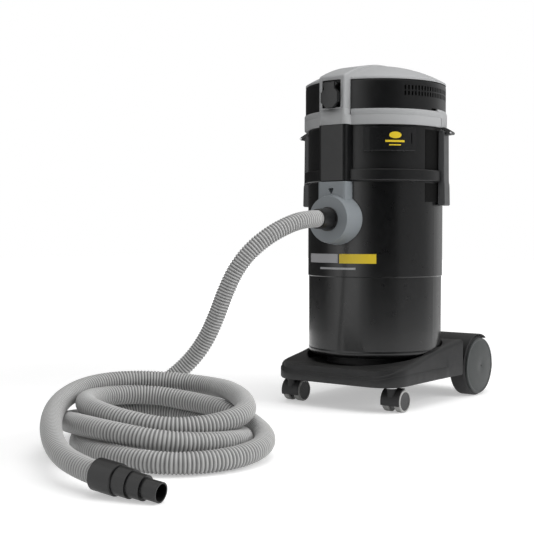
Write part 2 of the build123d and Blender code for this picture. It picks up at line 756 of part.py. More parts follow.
switch_tilt = degrees(atan2(SWITCH_BACK, sqrt(spine_radius**2 - SWITCH_BACK**2)))
SWITCH_PLANE = Plane(
    origin=(0, AXIS_Y + SWITCH_BACK, spine_z(SWITCH_BACK)),
    x_dir=(1, 0, 0),
    z_dir=(0, sin(radians(switch_tilt)), cos(radians(switch_tilt))),
)
with BuildPart() as top_cap:
    add(cap_form(0))
    upright = top_cap.edges().filter_by(Axis.Z).filter_by_position(
        Axis.Y, AXIS_Y - SPINE_REACH - 1, AXIS_Y - SPINE_REACH + 1
    )
    fillet(upright, SPINE_EDGE)
    add(cap_form(HEAD_WALL), mode=Mode.SUBTRACT)
    with BuildSketch(FRONT.offset(SPINE_REACH - HEAD_WALL - 1)) as window:
        with Locations((0, WINDOW_BOTTOM)):
            Rectangle(2 * WINDOW_HALF, WINDOW_H, align=(Align.CENTER, Align.MIN))
        fillet(window.vertices(), HEAD_WALL)
    extrude(amount=2 * HEAD_WALL, mode=Mode.SUBTRACT)
    with BuildSketch(SWITCH_PLANE):
        Rectangle(2 * SWITCH_HALF_X, 2 * SWITCH_HALF_Y)
    extrude(amount=2 * HEAD_WALL, both=True, mode=Mode.SUBTRACT)
pieces["top_cap"] = top_cap

# ---------------------------------------------------------------- tool socket and flap
FLAP_BACK = FLAP_FACE - FLAP_THICK
FLAP_TOP = WINDOW_TOP - 4
FLAP_PIN_Z = FLAP_TOP - FLAP_PIN_DROP
flap_pin_reach = FLAP_FACE - FLAP_THICK / 2
octagon_z = FLAP_TOP - FLAP_NECK - FLAP_H / 2
pin_line = Plane(origin=(0, AXIS_Y - flap_pin_reach, FLAP_PIN_Z), x_dir=(0, -1, 0), z_dir=(-1, 0, 0))
lug_outside = NECK_HALF + GAP + LUG_WIDTH

with BuildPart() as socket_body:
    with BuildSketch(FRONT.offset(SOCKET_REACH)):
        with Locations((0, WINDOW_BOTTOM)):
            Rectangle(2 * (SPINE_HALF - HEAD_WALL), WINDOW_H, align=(Align.CENTER, Align.MIN))
    extrude(amount=-SOCKET_DEPTH)
    with BuildSketch(FRONT.offset(SOCKET_REACH)):
        with Locations((0, octagon_z)):
            Circle(WELL_R + COLLAR_WIDTH)
    extrude(amount=FLAP_BACK - GAP - SOCKET_REACH)
    with BuildSketch(FRONT.offset(FLAP_BACK)):
        with Locations((0, octagon_z)):
            Circle(WELL_R)
    extrude(amount=SOCKET_REACH - WELL_DEPTH - FLAP_BACK, mode=Mode.SUBTRACT)
    with BuildSketch(FRONT.offset(SOCKET_REACH - WELL_DEPTH)):
        with Locations((-CONTACT_PITCH / 2, octagon_z), (CONTACT_PITCH / 2, octagon_z)):
            Circle(CONTACT_R)
    extrude(amount=-(SOCKET_DEPTH - WELL_DEPTH) / 2, mode=Mode.SUBTRACT)
    with BuildSketch(FRONT.offset(SOCKET_REACH)):
        with Locations(
            (-lug_outside + LUG_WIDTH / 2, FLAP_PIN_Z), (lug_outside - LUG_WIDTH / 2, FLAP_PIN_Z)
        ):
            Rectangle(LUG_WIDTH, 2 * LUG_HALF)
    extrude(amount=flap_pin_reach + LUG_HALF - SOCKET_REACH)
    with BuildSketch(pin_line):
        Circle(FLAP_PIN_R)
    extrude(amount=lug_outside + 1, both=True, mode=Mode.SUBTRACT)
pieces["socket_body"] = socket_body

with BuildPart() as flap_pin:
    with BuildSketch(pin_line):
        Circle(FLAP_PIN_R)
    extrude(amount=lug_outside, both=True)
pieces["flap_pin"] = flap_pin

spring_half = SPRING_TURNS * SPRING_WIRE * 0.75
with BuildPart() as socket_flap:
    with BuildSketch(FRONT.offset(FLAP_BACK)) as flap_face:
        with Locations((0, octagon_z)):
            Rectangle(2 * FLAP_HALF, FLAP_H)
        chamfer(flap_face.vertices(), FLAP_CUT)
        with Locations((0, octagon_z)):
            Rectangle(2 * NECK_HALF, FLAP_H / 2 + FLAP_NECK, align=(Align.CENTER, Align.MIN))
    extrude(amount=FLAP_THICK)
    front_edges = socket_flap.faces().sort_by(Axis.Y)[0].edges()
    fillet(front_edges, FLAP_WALL)
    with BuildSketch(FRONT.offset(FLAP_BACK)) as flap_hollow:
        with Locations((0, octagon_z)):
            Rectangle(2 * (FLAP_HALF - FLAP_WALL), FLAP_H - 2 * FLAP_WALL)
        chamfer(flap_hollow.vertices(), FLAP_CUT - FLAP_WALL)
    extrude(amount=FLAP_THICK - FLAP_WALL, mode=Mode.SUBTRACT)
    with BuildSketch(FRONT.offset(FLAP_BACK)):
        with Locations((0, FLAP_TOP)):
            Rectangle(2 * (spring_half + GAP), 2 * FLAP_PIN_DROP, align=(Align.CENTER, Align.MAX))
    extrude(amount=FLAP_THICK - FLAP_WALL, mode=Mode.SUBTRACT)
    with BuildSketch(pin_line):
        Circle(FLAP_PIN_R + RUNNING)
    extrude(amount=NECK_HALF + 1, both=True, mode=Mode.SUBTRACT)
pieces["socket_flap"] = socket_flap

spring_radius = FLAP_PIN_R + SPRING_WIRE / 2 + RUNNING
with BuildPart() as flap_spring:
    with BuildLine():
        wind = Helix(
            pitch=2 * spring_half / SPRING_TURNS,
            height=2 * spring_half,
            radius=spring_radius,
            center=(-spring_half, AXIS_Y - flap_pin_reach, FLAP_PIN_Z),
            direction=(1, 0, 0),
        )
    with BuildSketch(Plane(origin=wind @ 0, z_dir=wind % 0)):
        Circle(SPRING_WIRE / 2)
    sweep(path=wind, is_frenet=True)
pieces["flap_spring"] = flap_spring

# ---------------------------------------------------------------- switch and cable gland
cavity_x = SWITCH_HALF_X - 2
cavity_y = SWITCH_HALF_Y - 2
with BuildPart() as switch_bezel:
    with BuildSketch(SWITCH_PLANE):
        RectangleRounded(2 * (SWITCH_HALF_X + SWITCH_RIM), 2 * (SWITCH_HALF_Y + SWITCH_RIM), SWITCH_RIM)
    extrude(amount=SWITCH_RIM)
    with BuildSketch(SWITCH_PLANE):
        Rectangle(2 * SWITCH_HALF_X, 2 * SWITCH_HALF_Y)
    extrude(amount=-SWITCH_BODY)
    with BuildSketch(SWITCH_PLANE.offset(SWITCH_RIM)):
        Rectangle(2 * cavity_x, 2 * cavity_y)
    extrude(amount=-(SWITCH_RIM + SWITCH_BODY / 2), mode=Mode.SUBTRACT)
    with BuildSketch(Plane(origin=SWITCH_PLANE.origin, x_dir=SWITCH_PLANE.y_dir, z_dir=(1, 0, 0))):
        Circle(1 + RUNNING)
    extrude(amount=cavity_x + 1 + RUNNING, both=True, mode=Mode.SUBTRACT)
pieces["switch_bezel"] = switch_bezel

rocker_half = cavity_y - GAP
with BuildPart() as switch_rocker:
    with BuildSketch(Plane(origin=SWITCH_PLANE.origin, x_dir=SWITCH_PLANE.y_dir, z_dir=(1, 0, 0))):
        Polygon(
            (-0.95 * rocker_half, 1.5),
            (-0.9 * rocker_half, 4),
            (0, 2.4),
            (0.9 * rocker_half, 4),
            (0.95 * rocker_half, 1.5),
            (0.6 * rocker_half, -0.6 * rocker_half),
            (-0.6 * rocker_half, -0.6 * rocker_half),
            align=None,
        )
    extrude(amount=cavity_x - GAP, both=True)
    with BuildSketch(Plane(origin=SWITCH_PLANE.origin, x_dir=SWITCH_PLANE.y_dir, z_dir=(1, 0, 0))):
        Circle(1)
    extrude(amount=cavity_x + 1, both=True)
pieces["switch_rocker"] = switch_rocker

gland_z = COVER_TOP - GLAND_DROP
with BuildPart() as cable_gland:
    with BuildSketch(facing(180, COVER_R)):
        with Locations((0, gland_z)):
            Circle(GLAND_R)
    extrude(amount=HEAD_WALL)
    with BuildSketch(facing(180, COVER_R + HEAD_WALL)):
        with Locations((0, gland_z)):
            Circle(GLAND_R - HEAD_WALL)
    extrude(amount=GLAND_LENGTH - HEAD_WALL, taper=6)
    with BuildSketch(facing(180, COVER_R)):
        with Locations((0, gland_z)):
            Circle(GLAND_R - HEAD_WALL)
    extrude(amount=-3 * HEAD_WALL)
    with BuildSketch(facing(180, COVER_R + GLAND_LENGTH)):
        with Locations((0, gland_z)):
            Circle(GLAND_BORE)
    extrude(amount=-(GLAND_LENGTH + 2 * HEAD_WALL), mode=Mode.SUBTRACT)
pieces["cable_gland"] = cable_gland

# ---------------------------------------------------------------- motor
MOTOR_BASE = CHAMBER_TOP + DECK_PLATE
SHROUD_TOP = MOTOR_BASE + SHROUD_H
FRAME_TOP = SHROUD_TOP + FRAME_H
frame_inside = FRAME_R - FRAME_WALL
with BuildPart() as motor_housing:
    with BuildSketch(SECTION):
        Polygon(
            (EYE_R, MOTOR_BASE),
            (SHROUD_R + SHROUD_FLANGE, MOTOR_BASE),
            (SHROUD_R + SHROUD_FLANGE, MOTOR_BASE + SHROUD_WALL),
            (SHROUD_R, MOTOR_BASE + SHROUD_WALL),
            (SHROUD_R, SHROUD_TOP),
            (FRAME_R, SHROUD_TOP),
            (FRAME_R, FRAME_TOP),
            (SHAFT_R + RUNNING, FRAME_TOP),
            (SHAFT_R + RUNNING, FRAME_TOP - FRAME_WALL),
            (frame_inside, FRAME_TOP - FRAME_WALL),
            (frame_inside, SHROUD_TOP),
            (SHAFT_R + RUNNING, SHROUD_TOP),
            (SHAFT_R + RUNNING, SHROUD_TOP - FRAME_WALL),
            (SHROUD_R - SHROUD_WALL, SHROUD_TOP - FRAME_WALL),
            (SHROUD_R - SHROUD_WALL, MOTOR_BASE + SHROUD_WALL),
            (EYE_R, MOTOR_BASE + SHROUD_WALL),
            align=None,
        )
    revolve(axis=SPINDLE)
    with BuildSketch(FLOOR.offset(MOTOR_BASE + IMPELLER_H / 2)):
        with PolarLocations(SHROUD_R, 8):
            Rectangle(4 * SHROUD_WALL, SHROUD_R / 3)
    extrude(amount=IMPELLER_H / 2, mode=Mode.SUBTRACT)
    with BuildSketch(FLOOR.offset(FRAME_TOP - FRAME_WALL - 2 * ARMATURE_MARGIN)):
        with PolarLocations(FRAME_R, 6):
            Rectangle(4 * FRAME_WALL, FRAME_R / 3)
    extrude(amount=ARMATURE_MARGIN, mode=Mode.SUBTRACT)
pieces["motor_housing"] = motor_housing

stator_base = SHROUD_TOP
with BuildPart() as motor_stator:
    with BuildSketch(FLOOR.offset(stator_base)):
        Circle(frame_inside)
        Circle(frame_inside - STATOR_WALL, mode=Mode.SUBTRACT)
    extrude(amount=STATOR_H)
pieces["motor_stator"] = motor_stator

armature_base = stator_base + GAP
impeller_base = MOTOR_BASE + SHROUD_WALL + 3
with BuildPart() as motor_rotor:
    with BuildSketch(FLOOR.offset(impeller_base)):
        Circle(SHAFT_R)
    extrude(amount=FRAME_TOP + SHAFT_END - impeller_base)
    with BuildSketch(FLOOR.offset(armature_base)):
        Circle(frame_inside - STATOR_WALL - AIR_GAP)
    extrude(amount=STATOR_H - GAP)
pieces["motor_rotor"] = motor_rotor

with BuildPart() as impeller:
    with BuildSketch(FLOOR.offset(impeller_base)):
        Circle(IMPELLER_R)
        Circle(EYE_R, mode=Mode.SUBTRACT)
    extrude(amount=IMPELLER_PLATE)
    with BuildSketch(FLOOR.offset(impeller_base + IMPELLER_H - IMPELLER_PLATE)):
        Circle(IMPELLER_R)
    extrude(amount=IMPELLER_PLATE)
    with BuildSketch(FLOOR.offset(impeller_base)):
        Circle(2 * SHAFT_R)
    extrude(amount=IMPELLER_H)
    with BuildSketch(FLOOR.offset(impeller_base + IMPELLER_PLATE)):
        with BuildLine():
            for i in range(BLADES):
                start = Vector(EYE_R, 0).rotate(Axis.Z, 360 * i / BLADES)
                middle = Vector((EYE_R + IMPELLER_R) / 2, 0).rotate(Axis.Z, 360 * i / BLADES - BLADE_SWEEP / 3)
                end = Vector(IMPELLER_R - 1, 0).rotate(Axis.Z, 360 * i / BLADES - BLADE_SWEEP)
                ThreePointArc(start, middle, end)
        trace(line_width=BLADE_THICK)
    extrude(amount=IMPELLER_H - 2 * IMPELLER_PLATE)
    with BuildSketch(FLOOR.offset(impeller_base)):
        Circle(SHAFT_R)
    extrude(amount=IMPELLER_H, mode=Mode.SUBTRACT)
pieces["impeller"] = impeller

fan_base = FRAME_TOP + 3
with BuildPart() as cooling_fan:
    with BuildSketch(FLOOR.offset(fan_base)):
        Circle(FAN_R)
    extrude(amount=IMPELLER_PLATE)
    with BuildSketch(FLOOR.offset(fan_base + IMPELLER_PLATE)):
        with PolarLocations((FAN_R + 3 * SHAFT_R) / 2, FAN_BLADES):
            Rectangle(FAN_R - 3 * SHAFT_R, BLADE_THICK)
        Circle(2 * SHAFT_R)
    extrude(amount=FAN_H - IMPELLER_PLATE)
    with BuildSketch(FLOOR.offset(fan_base)):
        Circle(SHAFT_R)
    extrude(amount=FAN_H, mode=Mode.SUBTRACT)
pieces["cooling_fan"] = cooling_fan


# ---------------------------------------------------------------- trolley
def deck_top(shift):
    """Everything above the line that the deck's top edge follows from front to back."""
    return (
        (DECK_REACH + 20, DECK_FRONT_TOP - 4 - shift),
        (DECK_REACH / 2, DECK_FRONT_TOP + 5 - shift),
        (0, DECK_SIDE_TOP - shift),
        (-DECK_BACK, DECK_REAR_TOP - shift),
        (-2 * DECK_BACK, DECK_REAR_TOP + 20 - shift),
        (-2 * DECK_BACK, 2 * DECK_REAR_TOP),
        (DECK_REACH + 20, 2 * DECK_REAR_TOP),
    )


def trolley_form(inset):
    """The moulding's outer form, or with an inset the hollow under it."""
    well_inside = WHEEL_FACE - WHEEL_WIDTH - ARCH_GAP - inset
    with BuildPart() as form:
        with BuildSketch(FLOOR.offset(DECK_BOTTOM)) as plan:
            Polygon(
                (-DECK_REAR_HALF, DECK_BACK),
                (-DECK_HALF, 0),
                (-DECK_HALF, -DECK_REACH),
                (DECK_HALF, -DECK_REACH),
                (DECK_HALF, 0),
                (DECK_REAR_HALF, DECK_BACK),
                align=None,
            )
            fillet(plan.vertices().group_by(Axis.Y)[0], DECK_CORNER)
            if inset:
                offset(amount=-inset, kind=Kind.INTERSECTION)
        extrude(amount=DECK_REAR_TOP, taper=DECK_TAPER)
        with BuildSketch(PROFILE):
            Polygon(*deck_top(inset), align=None)
        extrude(amount=2 * DECK_HALF, both=True, mode=Mode.SUBTRACT)
        with BuildSketch(PROFILE):
            with Locations((-AXLE_BACK, WHEEL_R)):
                Circle(ARCH_R - inset)
        extrude(amount=WHEEL_FACE - inset, both=True)
        with BuildSketch(FLOOR.offset(DECK_BOTTOM)):
            Rectangle(3 * DECK_HALF, 6 * DECK_HALF)
        extrude(amount=-DECK_BOTTOM - 10, mode=Mode.SUBTRACT)
        with BuildSketch(FLOOR.offset(RECESS_FLOOR - inset)):
            Circle(TANK_R + RECESS_GAP + inset)
        extrude(amount=DECK_REAR_TOP, mode=Mode.SUBTRACT)
        for side in SIDES.values():
            with BuildSketch(Plane.YZ.offset(side * well_inside)):
                with Locations((AXLE_Y, WHEEL_R)):
                    Circle(WHEEL_R + ARCH_GAP + inset)
            extrude(amount=side * WHEEL_WIDTH * 2, mode=Mode.SUBTRACT)
    return form.part


with BuildPart() as trolley_chassis:
    add(trolley_form(0))
    for side in SIDES.values():
        arch_cut_x = side * (WHEEL_FACE - WHEEL_WIDTH - ARCH_GAP)
        with BuildSketch(Plane.YZ.offset(arch_cut_x)):
            with Locations((AXLE_Y, WHEEL_R)):
                Rectangle(2 * ARCH_R, ARCH_R, align=(Align.MIN, Align.CENTER), rotation=28)
                Rectangle(ARCH_R, 2 * ARCH_R, align=(Align.CENTER, Align.MAX))
        extrude(amount=side * 2 * WHEEL_WIDTH, mode=Mode.SUBTRACT)
    add(trolley_form(TROLLEY_WALL), mode=Mode.SUBTRACT)
    with BuildSketch(FLOOR.offset(RECESS_FLOOR - TROLLEY_WALL)):
        Circle(PEDESTAL_R)
        Circle(PEDESTAL_R - PEDESTAL_WALL, mode=Mode.SUBTRACT)
        with PolarLocations(SCREW_CIRCLE, SCREWS, start_angle=90):
            Circle(2 * SCREW_R)
    extrude(amount=TANK_FLOOR - RECESS_FLOOR + TROLLEY_WALL)
    with BuildSketch(FLOOR.offset(RECESS_FLOOR - 2 * TROLLEY_WALL)):
        with PolarLocations(SCREW_CIRCLE, SCREWS, start_angle=90):
            Circle(SCREW_R)
    extrude(amount=TANK_FLOOR, mode=Mode.SUBTRACT)
    for side in SIDES.values():
        with BuildSketch(Plane((side * CASTER_X, AXIS_Y - CASTER_FORWARD, DECK_BOTTOM))):
            Circle(STEM_BOSS_R)
        extrude(amount=DECK_FRONT_TOP - DECK_BOTTOM - TROLLEY_WALL / 2)
        with BuildSketch(Plane((side * CASTER_X, AXIS_Y - CASTER_FORWARD, DECK_BOTTOM))):
            Circle(STEM_R + RUNNING)
        extrude(amount=STEM_LENGTH + GAP, mode=Mode.SUBTRACT)
        boss_start = side * (WHEEL_FACE - WHEEL_WIDTH - ARCH_GAP)
        with BuildSketch(Plane.YZ.offset(boss_start)):
            with Locations((AXLE_Y, WHEEL_R)):
                Circle(HUB_BOSS_R)
        extrude(amount=-side * 5 * TROLLEY_WALL)
        with BuildSketch(Plane.YZ.offset(side * WHEEL_FACE)):
            with Locations((AXLE_Y, WHEEL_R)):
                Circle(AXLE_R)
        extrude(amount=-side * WHEEL_WIDTH * 2, mode=Mode.SUBTRACT)
pieces["trolley_chassis"] = trolley_chassis

with BuildPart() as tank_screws:
    with BuildSketch(FLOOR.offset(RECESS_FLOOR - TROLLEY_WALL)):
        with PolarLocations(SCREW_CIRCLE, SCREWS, start_angle=90):
            Circle(SCREW_HEAD_R)
    extrude(amount=-SCREW_R)
    with BuildSketch(FLOOR.offset(RECESS_FLOOR - TROLLEY_WALL)):
        with PolarLocations(SCREW_CIRCLE, SCREWS, start_angle=90):
            Circle(SCREW_R)
    extrude(amount=TANK_FLOOR + TANK_WALL - RECESS_FLOOR + TROLLEY_WALL)
    with BuildSketch(FLOOR.offset(TANK_FLOOR + TANK_WALL)):
        with PolarLocations(SCREW_CIRCLE, SCREWS, start_angle=90):
            RegularPolygon(SCREW_HEAD_R, 6)
    extrude(amount=1.5 * SCREW_R)
pieces["tank_screws"] = tank_screws

# ---------------------------------------------------------------- rear wheels
AXLE_END = WHEEL_FACE + CLIP_H
with BuildPart() as rear_axle:
    with BuildSketch(Plane.YZ):
        with Locations((AXLE_Y, WHEEL_R)):
            Circle(AXLE_R)
    extrude(amount=AXLE_END + 1, both=True)
pieces["rear_axle"] = rear_axle

with BuildPart() as axle_clips:
    for side in SIDES.values():
        with BuildSketch(Plane.YZ.offset(side * WHEEL_FACE)):
            with Locations((AXLE_Y, WHEEL_R)):
                Circle(CLIP_R)
                Circle(AXLE_R, mode=Mode.SUBTRACT)
        extrude(amount=side * CLIP_H)
pieces["axle_clips"] = axle_clips

wheel_inside = WHEEL_FACE - WHEEL_WIDTH
rim_r = WHEEL_R - TYRE_DEPTH
cap_middle = CAP_DOME - arc_fall(arc_radius(rim_r, CAP_DOME), rim_r / 2)
for name, side in SIDES.items():
    wheel_section = Plane(origin=(0, AXLE_Y, WHEEL_R), x_dir=(side, 0, 0), z_dir=(0, -side, 0))
    with BuildPart() as rear_tyre:
        with BuildSketch(wheel_section) as tyre_profile:
            Polygon(
                (wheel_inside, rim_r),
                (WHEEL_FACE, rim_r),
                (WHEEL_FACE, WHEEL_R),
                (wheel_inside, WHEEL_R),
                align=None,
            )
            fillet(tyre_profile.vertices().group_by(Axis.Y)[-1], TYRE_SHOULDER)
        revolve(axis=AXLE)
    pieces[f"rear_tyre_{name}"] = rear_tyre
    with BuildPart() as rear_hub:
        with BuildSketch(wheel_section):
            Polygon(
                (wheel_inside, AXLE_R + RUNNING),
                (WHEEL_FACE - RUNNING, AXLE_R + RUNNING),
                (WHEEL_FACE - RUNNING, HUB_BOSS_R),
                (WHEEL_FACE - WHEEL_WIDTH / 2 + HUB_WEB, HUB_BOSS_R),
                (WHEEL_FACE - WHEEL_WIDTH / 2 + HUB_WEB, rim_r - HUB_WEB),
                (WHEEL_FACE - CAP_THICK, rim_r - HUB_WEB),
                (WHEEL_FACE - CAP_THICK, rim_r),
                (wheel_inside, rim_r),
                (wheel_inside, rim_r - HUB_WEB),
                (WHEEL_FACE - WHEEL_WIDTH / 2, rim_r - HUB_WEB),
                (WHEEL_FACE - WHEEL_WIDTH / 2, HUB_BOSS_R),
                (wheel_inside, HUB_BOSS_R),
                align=None,
            )
        revolve(axis=AXLE)
    pieces[f"rear_hub_{name}"] = rear_hub
    with BuildPart() as hub_cap:
        with BuildSketch(wheel_section):
            with BuildLine():
                Polyline(
                    (WHEEL_FACE + CAP_DOME - CAP_THICK, 0),
                    (WHEEL_FACE + CAP_DOME, 0),
                )
                ThreePointArc(
                    (WHEEL_FACE + CAP_DOME, 0), (WHEEL_FACE + cap_middle, rim_r / 2), (WHEEL_FACE, rim_r)
                )
                Polyline((WHEEL_FACE, rim_r), (WHEEL_FACE - CAP_THICK, rim_r))
                ThreePointArc(
                    (WHEEL_FACE - CAP_THICK, rim_r),
                    (WHEEL_FACE + cap_middle - CAP_THICK, rim_r / 2),
                    (WHEEL_FACE + CAP_DOME - CAP_THICK, 0),
                )
            make_face()
        revolve(axis=AXLE)
    pieces[f"hub_cap_{name}"] = hub_cap

# ---------------------------------------------------------------- casters
HOOD_TOP = DECK_BOTTOM - 4
wheel_gap_r = CASTER_R + HOOD_GAP
caster_axle_half = CASTER_WEB / 2 + CASTER_WIDTH - 3
for name, side in SIDES.items():
    wheel_forward = CASTER_FORWARD - CASTER_TRAIL
    middle = Plane(
        origin=(side * CASTER_X, AXIS_Y - wheel_forward, CASTER_R), x_dir=(0, -1, 0), z_dir=(-1, 0, 0)
    )
    hood_half = CASTER_WEB / 2 + CASTER_WIDTH + GAP
    stem_plane = Plane((side * CASTER_X, AXIS_Y - CASTER_FORWARD, HOOD_TOP))
    with BuildPart() as caster_hood:
        with BuildSketch(middle):
            Circle(wheel_gap_r + HOOD_WALL)
            Circle(wheel_gap_r, mode=Mode.SUBTRACT)
            Rectangle(3 * CASTER_R, 3 * CASTER_R, align=(Align.MAX, Align.CENTER), mode=Mode.SUBTRACT)
            Rectangle(
                3 * CASTER_R, 3 * CASTER_R, align=(Align.CENTER, Align.MAX), rotation=-18, mode=Mode.SUBTRACT
            )
        extrude(amount=hood_half, both=True)
        with BuildSketch(stem_plane):
            Circle(2 * STEM_R)
        extrude(amount=-CASTER_R + STEM_R)
        with BuildSketch(middle):
            Circle(wheel_gap_r)
        extrude(amount=hood_half, both=True, mode=Mode.SUBTRACT)
        with BuildSketch(middle):
            Circle(2 * CASTER_AXLE_R)
            Polygon(
                (0, -2 * CASTER_AXLE_R),
                (wheel_gap_r + 1, 0),
                (wheel_gap_r + 1, CASTER_AXLE_R),
                (CASTER_TRAIL + STEM_R, HOOD_TOP - CASTER_R),
                (CASTER_TRAIL - 2 * STEM_R, HOOD_TOP - CASTER_R),
                (-2 * CASTER_AXLE_R, 2 * CASTER_AXLE_R),
                align=None,
            )
        extrude(amount=CASTER_WEB / 2, both=True)
        with BuildSketch(middle):
            Circle(CASTER_AXLE_R)
        extrude(amount=hood_half, both=True, mode=Mode.SUBTRACT)
        with BuildSketch(stem_plane):
            Circle(STEM_R)
        extrude(amount=-2 * STEM_R, mode=Mode.SUBTRACT)
    pieces[f"caster_hood_{name}"] = caster_hood
    with BuildPart() as caster_stem:
        with BuildSketch(stem_plane.offset(-2 * STEM_R)):
            Circle(STEM_R)
        extrude(amount=2 * STEM_R + DECK_BOTTOM - HOOD_TOP + STEM_LENGTH)
        with BuildSketch(stem_plane):
            Circle(STEM_DISC_R)
        extrude(amount=DECK_BOTTOM - HOOD_TOP - RUNNING)
    pieces[f"caster_stem_{name}"] = caster_stem
    with BuildPart() as caster_axle:
        with BuildSketch(middle):
            Circle(CASTER_AXLE_R)
        extrude(amount=caster_axle_half, both=True)
    pieces[f"caster_axle_{name}"] = caster_axle
    for place, way in (("outer", side), ("inner", -side)):
        near = Plane(
            origin=(side * CASTER_X + way * (CASTER_WEB / 2 + GAP), AXIS_Y - wheel_forward, CASTER_R),
            x_dir=(0, way, 0),
            z_dir=(way, 0, 0),
        )
        with BuildPart() as caster_tread:
            with BuildSketch(near):
                Circle(CASTER_R)
                Circle(CASTER_R - CASTER_TREAD, mode=Mode.SUBTRACT)
            extrude(amount=CASTER_WIDTH)
            outer_edges = caster_tread.edges().filter_by(GeomType.CIRCLE).group_by(SortBy.RADIUS)[-1]
            fillet(outer_edges, CASTER_TREAD / 2)
        pieces[f"caster_tread_{name}_{place}"] = caster_tread
        with BuildPart() as caster_disc:
            with BuildSketch(near):
                Circle(CASTER_R - CASTER_TREAD)
            extrude(amount=CASTER_WIDTH - 1)
            with BuildSketch(near):
                Circle(CASTER_AXLE_R + RUNNING)
            extrude(amount=caster_axle_half - CASTER_WEB / 2, mode=Mode.SUBTRACT)
        pieces[f"caster_disc_{name}_{place}"] = caster_disc

# ---------------------------------------------------------------- hose
CUFF_END = INLET_FACE + CUFF_FLANGE + CUFF_LENGTH
with BuildPart() as hose_cuff:
    with BuildSketch(Plane(origin=(0, AXIS_Y, INLET_Z), x_dir=(0, -1, 0), z_dir=(-1, 0, 0))):
        Polygon(
            (INLET_FACE - CUFF_SEAT, HOSE_BORE),
            (INLET_FACE - CUFF_SEAT, CUFF_R),
            (INLET_FACE, CUFF_R),
            (INLET_FACE, CUFF_R + CUFF_FLANGE),
            (INLET_FACE + CUFF_FLANGE, CUFF_R + CUFF_FLANGE),
            (INLET_FACE + CUFF_FLANGE, CUFF_R),
            (CUFF_END, CUFF_NOSE),
            (CUFF_END, HOSE_BORE),
            align=None,
        )
    revolve(axis=Axis((0, AXIS_Y, INLET_Z), (0, -1, 0)))
pieces["hose_cuff"] = hose_cuff


def hose_run(points):
    """Straight runs joined by tangent arcs, each as large as its two runs allow."""
    corners = [Vector(*p) for p in points]
    radii = []
    for before, here, after in zip(corners, corners[1:], corners[2:]):
        turn = radians((here - before).get_angle(after - here))
        shorter = min((here - before).length, (after - here).length)
        radii.append(0.45 * shorter / tan(turn / 2))
    return corners, radii


hanging_points = (
    (0, AXIS_Y - CUFF_END, INLET_Z),
    (0, AXIS_Y - CUFF_END - 45, INLET_Z - 1),
    (-9, -397, 446),
    (-30, -442, 423),
    (-58, -477, 389),
    (-86, -499, 345),
    (-108, -510, 294),
    (-129, -515, 241),
    (-153, -520, 189),
    (-182, -531, 143),
    (-214, -552, 104),
    (-246, -583, 72),
    (-274, -624, 47),
    (-291, -672, 30),
    (-294, -724, 22.5),
    (-278, -774, 21.5),
)
tail_points = (
    (-178, -968, 76),
    (-135, -1020, 76),
    (-82, -1067, 70),
    (-22, -1106, 59),
    (42, -1137, 47),
    (106, -1158, 37.5),
    (168, -1166, 33),
)
for name, points in (("hose_tube", hanging_points), ("hose_tail", tail_points)):
    corners, radii = hose_run(points)
    with BuildPart() as hose:
        with BuildLine():
            route = FilletPolyline(*corners, radius=radii)
        with BuildSketch(Plane(origin=corners[0], z_dir=corners[1] - corners[0])):
            Circle(HOSE_R)
        sweep(path=route)
    pieces[name] = hose
    expected = route.length * pi * HOSE_R**2
    print(name, "length", round(route.length), "radii", [round(r) for r in radii])
    print(name, "volume over section times length", round(hose.part.volume / expected, 4))

with BuildPart() as hose_coil:
    with BuildSketch(Plane((COIL_CENTRE_X, COIL_CENTRE_Y, 0))):
        Ellipse(COIL_HALF_X, COIL_HALF_Y)
        Ellipse(COIL_HALF_X - COIL_BAND, COIL_HALF_Y - COIL_BAND, mode=Mode.SUBTRACT)
    extrude(amount=COIL_BACK_H)
    with BuildSketch(Plane.YZ):
        Polygon(
            (COIL_CENTRE_Y - COIL_HALF_Y - 1, COIL_FRONT_H),
            (COIL_CENTRE_Y + COIL_HALF_Y + 1, COIL_BACK_H),
            (COIL_CENTRE_Y + COIL_HALF_Y + 1, 2 * COIL_BACK_H),
            (COIL_CENTRE_Y - COIL_HALF_Y - 1, 2 * COIL_BACK_H),
            align=None,
        )
    extrude(amount=2 * COIL_HALF_X, both=True, mode=Mode.SUBTRACT)
    fillet(hose_coil.edges().sort_by(Axis.Z)[-2:], COIL_EDGE)
pieces["hose_coil"] = hose_coil

# ---------------------------------------------------------------- adapter on the hose's free end
last_step = len(ADAPTER_STEPS) - 1
steps_length = sum(length for radius, length in ADAPTER_STEPS)
lean = degrees(atan2(ADAPTER_CUFF_R - ADAPTER_STEPS[-1][0], steps_length))
adapter_way = Vector(
    cos(radians(lean)) * cos(radians(ADAPTER_TURN)), cos(radians(lean)) * sin(radians(ADAPTER_TURN)), -sin(radians(lean))
)
adapter_start = Vector(*tail_points[-1])
adapter_plane = Plane(origin=adapter_start, x_dir=adapter_way.cross(Vector(0, 0, 1)), z_dir=adapter_way)
with BuildPart() as adapter_cuff:
    with BuildSketch(adapter_plane):
        Circle(ADAPTER_CUFF_R)
        Circle(HOSE_BORE, mode=Mode.SUBTRACT)
    extrude(amount=ADAPTER_CUFF_LENGTH)
    fillet(adapter_cuff.edges().filter_by(GeomType.CIRCLE).group_by(SortBy.RADIUS)[-1], ADAPTER_WALL)
pieces["adapter_cuff"] = adapter_cuff

